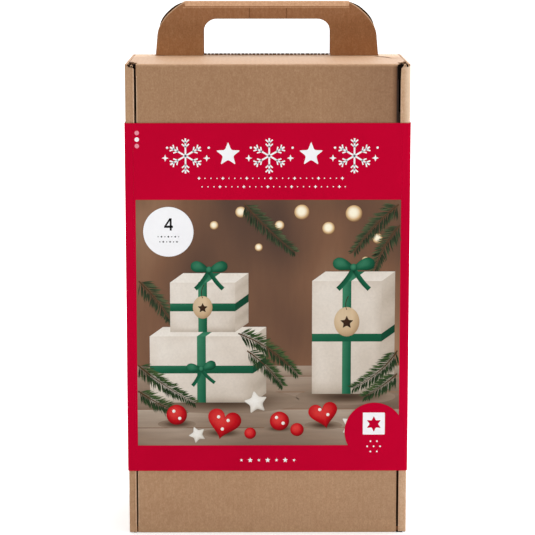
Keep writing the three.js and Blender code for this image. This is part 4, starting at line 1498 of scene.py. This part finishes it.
def tube(built, path, radius, sides):
    """A round strand along a line of points, thinner at its ends."""
    rows = []
    last = len(path) - 1
    for i, point in enumerate(path):
        heading = (Vector(path[min(last, i + 1)]) - Vector(path[max(0, i - 1)])).normalized()
        aside = heading.orthogonal() if abs(heading.z) > 0.99 else heading.cross(Vector((0, 0, 1)))
        aside = aside.normalized()
        over = heading.cross(aside)
        taper = min(1.0, 0.25 + 0.25 * min(i, last - i))
        rows.append([tuple(Vector(point) + (aside * math.cos(a) + over * math.sin(a)) * radius * taper)
                     for a in around(sides)])
    built.prism(rows)


def wool_bundle(node, seed, *tones):
    """Soft bundle of carded wool, with the loose strands that wrap it."""
    centre, half = middle_and_half(*node_box(node))
    source = random.Random(seed)

    def surface(azimuth, height, scale):
        """A point on the bundle, from its turn about X and its place along it."""
        ring = (1 - abs(height) ** 2.2) ** (1 / 2.2)
        c, s = math.cos(azimuth), math.sin(azimuth)
        lump = 1 + 0.10 * uneven(c * 1.6 + seed, s * 1.6, height * 2.2)
        across = squared(c, 0.86) * ring
        thick = squared(s, 0.86) * ring
        return (centre[0] + half[0] * height * scale, centre[1] + half[1] * thick * scale * lump * 0.95,
                centre[2] + half[2] * across * scale * lump * 0.95)

    built = Builder()
    built.prism([[surface(a, -0.97 + 1.94 * i / 28, 0.93) for a in around(48)] for i in range(29)])
    for strand in range(90):
        start = source.uniform(0, 2 * math.pi)
        height = source.uniform(-0.9, 0.9)
        drift = source.uniform(-0.25, 0.25)
        sweep = source.uniform(1.2, 3.4)
        sway = source.uniform(0.02, 0.10)
        path = []
        for t in (k / 26 for k in range(27)):
            at = clamped(height + drift * t + sway * math.sin(t * 7 + strand), -0.93, 0.93)
            scale = 0.945 + 0.03 * math.sin(math.pi * t) + 0.004 * math.sin(strand)
            path.append(surface(start + sweep * t, at, scale))
        tube(built, path, source.uniform(0.35, 0.85), 5)
    for _ in range(120):
        start = source.uniform(0, 2 * math.pi)
        height = source.uniform(-0.85, 0.85)
        sweep = source.uniform(0.3, 0.9)
        lift = source.uniform(0.01, 0.035)
        path = [surface(start + sweep * k / 9, clamped(height + 0.12 * k / 9, -0.93, 0.93),
                        0.965 + lift * math.sin(math.pi * k / 9)) for k in range(10)]
        tube(built, path, 0.12, 3)
    obj = built.piece(f"{node}_bundle", wool_paint(node, *tones), "tray", node, smooth=True, stands_for=node)


LEAFLET_DEPTHS = (17.86, 18.14, 18.44, 18.74)
LEAFLET_HALF = 73.4
LEAFLET_FOOT = 27.2
LEAFLET_HEAD = 237.0
DRAWN = 17.70


def leaflet():
    """Folded paper with plain drawings of the steps on its front."""
    built = Builder()
    for number, y in enumerate(LEAFLET_DEPTHS):
        built.grid([[(x, y + 0.07 * uneven(x / 30, z / 40, number * 3.0), z)
                     for x in steps(-LEAFLET_HALF, LEAFLET_HALF - number * 0.5, 12)]
                    for z in steps(LEAFLET_FOOT, LEAFLET_HEAD, 15)])
    for number, (y0, y1) in enumerate(zip(LEAFLET_DEPTHS, LEAFLET_DEPTHS[1:])):
        sign = -1 if number % 2 == 0 else 1
        fold = [(sign * (LEAFLET_HALF + 0.5 * math.sin(math.pi * k / 6)), y0 + (y1 - y0) * k / 6)
                for k in range(7)]
        built.grid([[(x, y, z) for x, y in fold] for z in (LEAFLET_FOOT, 132.0, LEAFLET_HEAD)])
    built.piece("folded_leaflet", leaflet_paint(), "tray", "leaflet_paper", smooth=True,
                stands_for="instruction_leaflet")
    ink = Builder()
    wash = Builder()
    for number in range(6):
        draw_step(ink, wash, number, -36 + 72 * (number % 2), 203 - 66 * (number // 2))
    ink.piece("leaflet_drawings", LEAFLET_INK, "tray", "leaflet_paper")
    tint = print_paint("leaflet_tint", (214, 206, 192), (222, 132, 132), (206, 52, 60))
    wash.piece("leaflet_wash", tint, "tray", "leaflet_paper")


def draw_step(ink, wash, number, cx, cz):
    """A framed drawing: the mat, the felt shape with its stitches, the needle and the step's number."""
    wide, tall = 31, 28
    corners = [(cx + x * wide, cz + z * tall) for x, z in SQUARE]
    stroke(ink, dense(rounded(corners, 4, 0.08) + [(cx - wide + 4.9, cz - tall)], 3), 0.8, DRAWN + 0.02)
    mat = [(cx - 22, cz - 20), (cx + 20, cz - 20), (cx + 24, cz - 11), (cx - 18, cz - 11)]
    patch(wash, mat, DRAWN + 0.06, lambda u, v: 0.2 + 0.1 * v, 6, 3)
    size = 11 - 0.9 * number
    shapes = (circle(cx, cz - 3, size), heart(cx, cz - 3, size * 0.95), star(cx, cz - 2, size * 1.15))
    puff(wash, shapes[number // 2], (cx, cz - 3), DRAWN + 0.04, 0.72, 0.3, 5)
    for k in range(5 + number):
        turn = 0.9 * k + number
        a = (cx + size * 0.75 * math.cos(turn), cz - 3 + size * 0.75 * math.sin(turn))
        b = (cx - size * 0.5 * math.cos(turn + 0.8), cz - 3 - size * 0.5 * math.sin(turn + 0.8))
        stroke(ink, bend(a, (cx, cz - 3), b, 6), 0.35, DRAWN, 0.4)
    needle = [(cx + 6, cz + 3), (cx + 14, cz + 13), (cx + 23, cz + 24)]
    stroke(ink, needle, 0.9, DRAWN - 0.01, 0.4, taper=True)
    figure(f"leaflet_step_{number + 1}", number + 1, 11, 0.3, LEAFLET_INK, "leaflet_paper",
           (cx - 25, DRAWN, cz + 21), True)


def number_disc(number):
    """Oval slice of a branch with bark, a string hole and its number."""
    low, _ = node_box(f"number_disc_{number}")
    (cx, cy, _), (wide, deep, _) = middle_and_half(*node_box(f"number_disc_{number}"))
    foot = low[2]
    source = number * 5.0

    def rim(shrink, rise, rough):
        points = []
        for a in around(72):
            bumpy = uneven(source + math.cos(a) * 2, math.sin(a) * 2, foot + rise)
            grow = 1 - shrink - 0.012 * (1 + bumpy) * rough
            points.append((cx + wide * grow * math.cos(a), cy + deep * grow * math.sin(a), foot + rise))
        return points

    def hole(rise):
        return [(x, y, foot + rise) for x, y in circle(cx - 12.96, cy, 1.5, 72)]

    bark = Builder()
    rims = ((0.10, 0.05, 0.4), (0.01, 0.1, 1), (0.0, 1.4, 1.6), (0.004, 2.7, 1.6), (0.012, 3.85, 1),
            (0.075, 3.95, 0.4), (0.10, 3.9, 0.4))
    bark.grid([rim(*place) for place in rims], closed=True)
    bark.piece(f"disc_bark_{number}", bark_paint(f"bark_{number}"), "tray", "disc_wood", smooth=True,
               stands_for=f"number_disc_{number}")
    face = Builder()
    face.grid([rim(0.09, 0.02, 0.4), hole(0.02), hole(3.9), rim(0.09, 3.9, 0.4)], closed=True)
    wood = wood_paint(f"branch_wood_{number}", (cx + 2, cy, foot))
    face.piece(f"disc_face_{number}", wood, "tray", "disc_wood")
    burnt = print_paint(f"burnt_{number}", (30, 18, 12), (58, 36, 24), grain=0.2)
    figure(f"disc_number_{number}", number, 13, 0.4, burnt, "disc_wood",
           (cx + 3.0, cy - 0.2, foot + 3.96), False)


def turned(built, profile, centre, foot):
    """A form turned about an upright axis. The profile is (radius, height above the foot)."""
    built.grid([[(x, y, foot + rise) for x, y in circle(*centre, radius, 56)] for radius, rise in profile],
               closed=True)
    built.look_outward()


def spool_and_ribbon():
    cx, cy, cz = middle_and_half(*node_box("green_ribbon"))[0]
    built = Builder()
    rows = []
    inner, outer = 8.6, 16.7
    count = 19 * 26
    for k in range(count + 1):
        a = 2 * math.pi * k / 26
        radius = inner + (outer - inner) * k / count
        rows.append([(cx + radius * math.sin(a), cy + y, cz + radius * math.cos(a))
                     for y in (-7.0, -6.4, 0.0, 6.4, 7.0)])
    built.grid(rows)
    built.piece("wound_ribbon", SATIN, "tray", "green_ribbon", smooth=True, stands_for="green_ribbon")
    dress("spool_core", KRAFT_Y, WORN_MORE)


def needle_set():
    foot = node_box("needle_tube")[0][2]
    (cx, cy, _), _ = middle_and_half(*node_box("needle_tube"))
    shell = Builder()
    turned(shell, [(0.01, 0.0), (5.8, 0.0), (6.7, 0.3), (7.0, 1.0), (7.0, 66.6), (7.0, 87.6), (6.8, 88.0),
                   (6.2, 88.0), (6.0, 87.6), (6.0, 1.6), (5.6, 1.0), (0.01, 1.0)], (cx, cy), foot)
    clear = plastic_paint("clear_plastic", rgb(240, 244, 246), rgb(224, 232, 236), 0.32)
    shell.piece("needle_tube_shell", clear, "tray", "clear_plastic", smooth=True, stands_for="needle_tube")
    profile = [(7.3, 67.3), (8.1, 67.3), (8.3, 67.6)]
    for k in range(9):
        profile += [(radius, rise + k * 1.5)
                    for radius, rise in ((8.3, 68.6), (8.05, 69.0), (8.05, 69.6), (8.3, 70.0))]
    profile += [(8.3, 88.2), (8.0, 89.0), (7.3, 89.3), (0.01, 89.3), (0.01, 88.3), (7.0, 88.3), (7.3, 88.0)]
    cap = Builder()
    turned(cap, profile + [profile[0]], (cx, cy), foot)
    red = plastic_paint("red_plastic", rgb(190, 20, 34), rgb(160, 12, 24))
    cap.piece("needle_cap_shell", red, "needle_cap", "red_plastic", smooth=True, stands_for="needle_tube_cap")
    steel = steel_paint()
    for number in (1, 2, 3):
        dress(f"felting_needle_{number}", steel)


def kit():
    foam_pad()
    for number in (1, 2, 3, 4):
        gift_bag(number)
    leaflet()
    wool_bundle("red_wool", 11, rgb(140, 6, 14), rgb(196, 14, 26), rgb(228, 48, 48))
    wool_bundle("white_wool", 23, rgb(206, 198, 184), rgb(236, 230, 218), rgb(250, 247, 240))
    for number in (1, 2, 3, 4):
        number_disc(number)
    spool_and_ribbon()
    needle_set()


for make in (camera, studio, boards, front_folds, rear_corners, creases, lid_creases, open_corners, flap_slit,
             handle_edges, handle_shoulders, handle_top, band_wrap, picture, white_marks, kit):
    make()
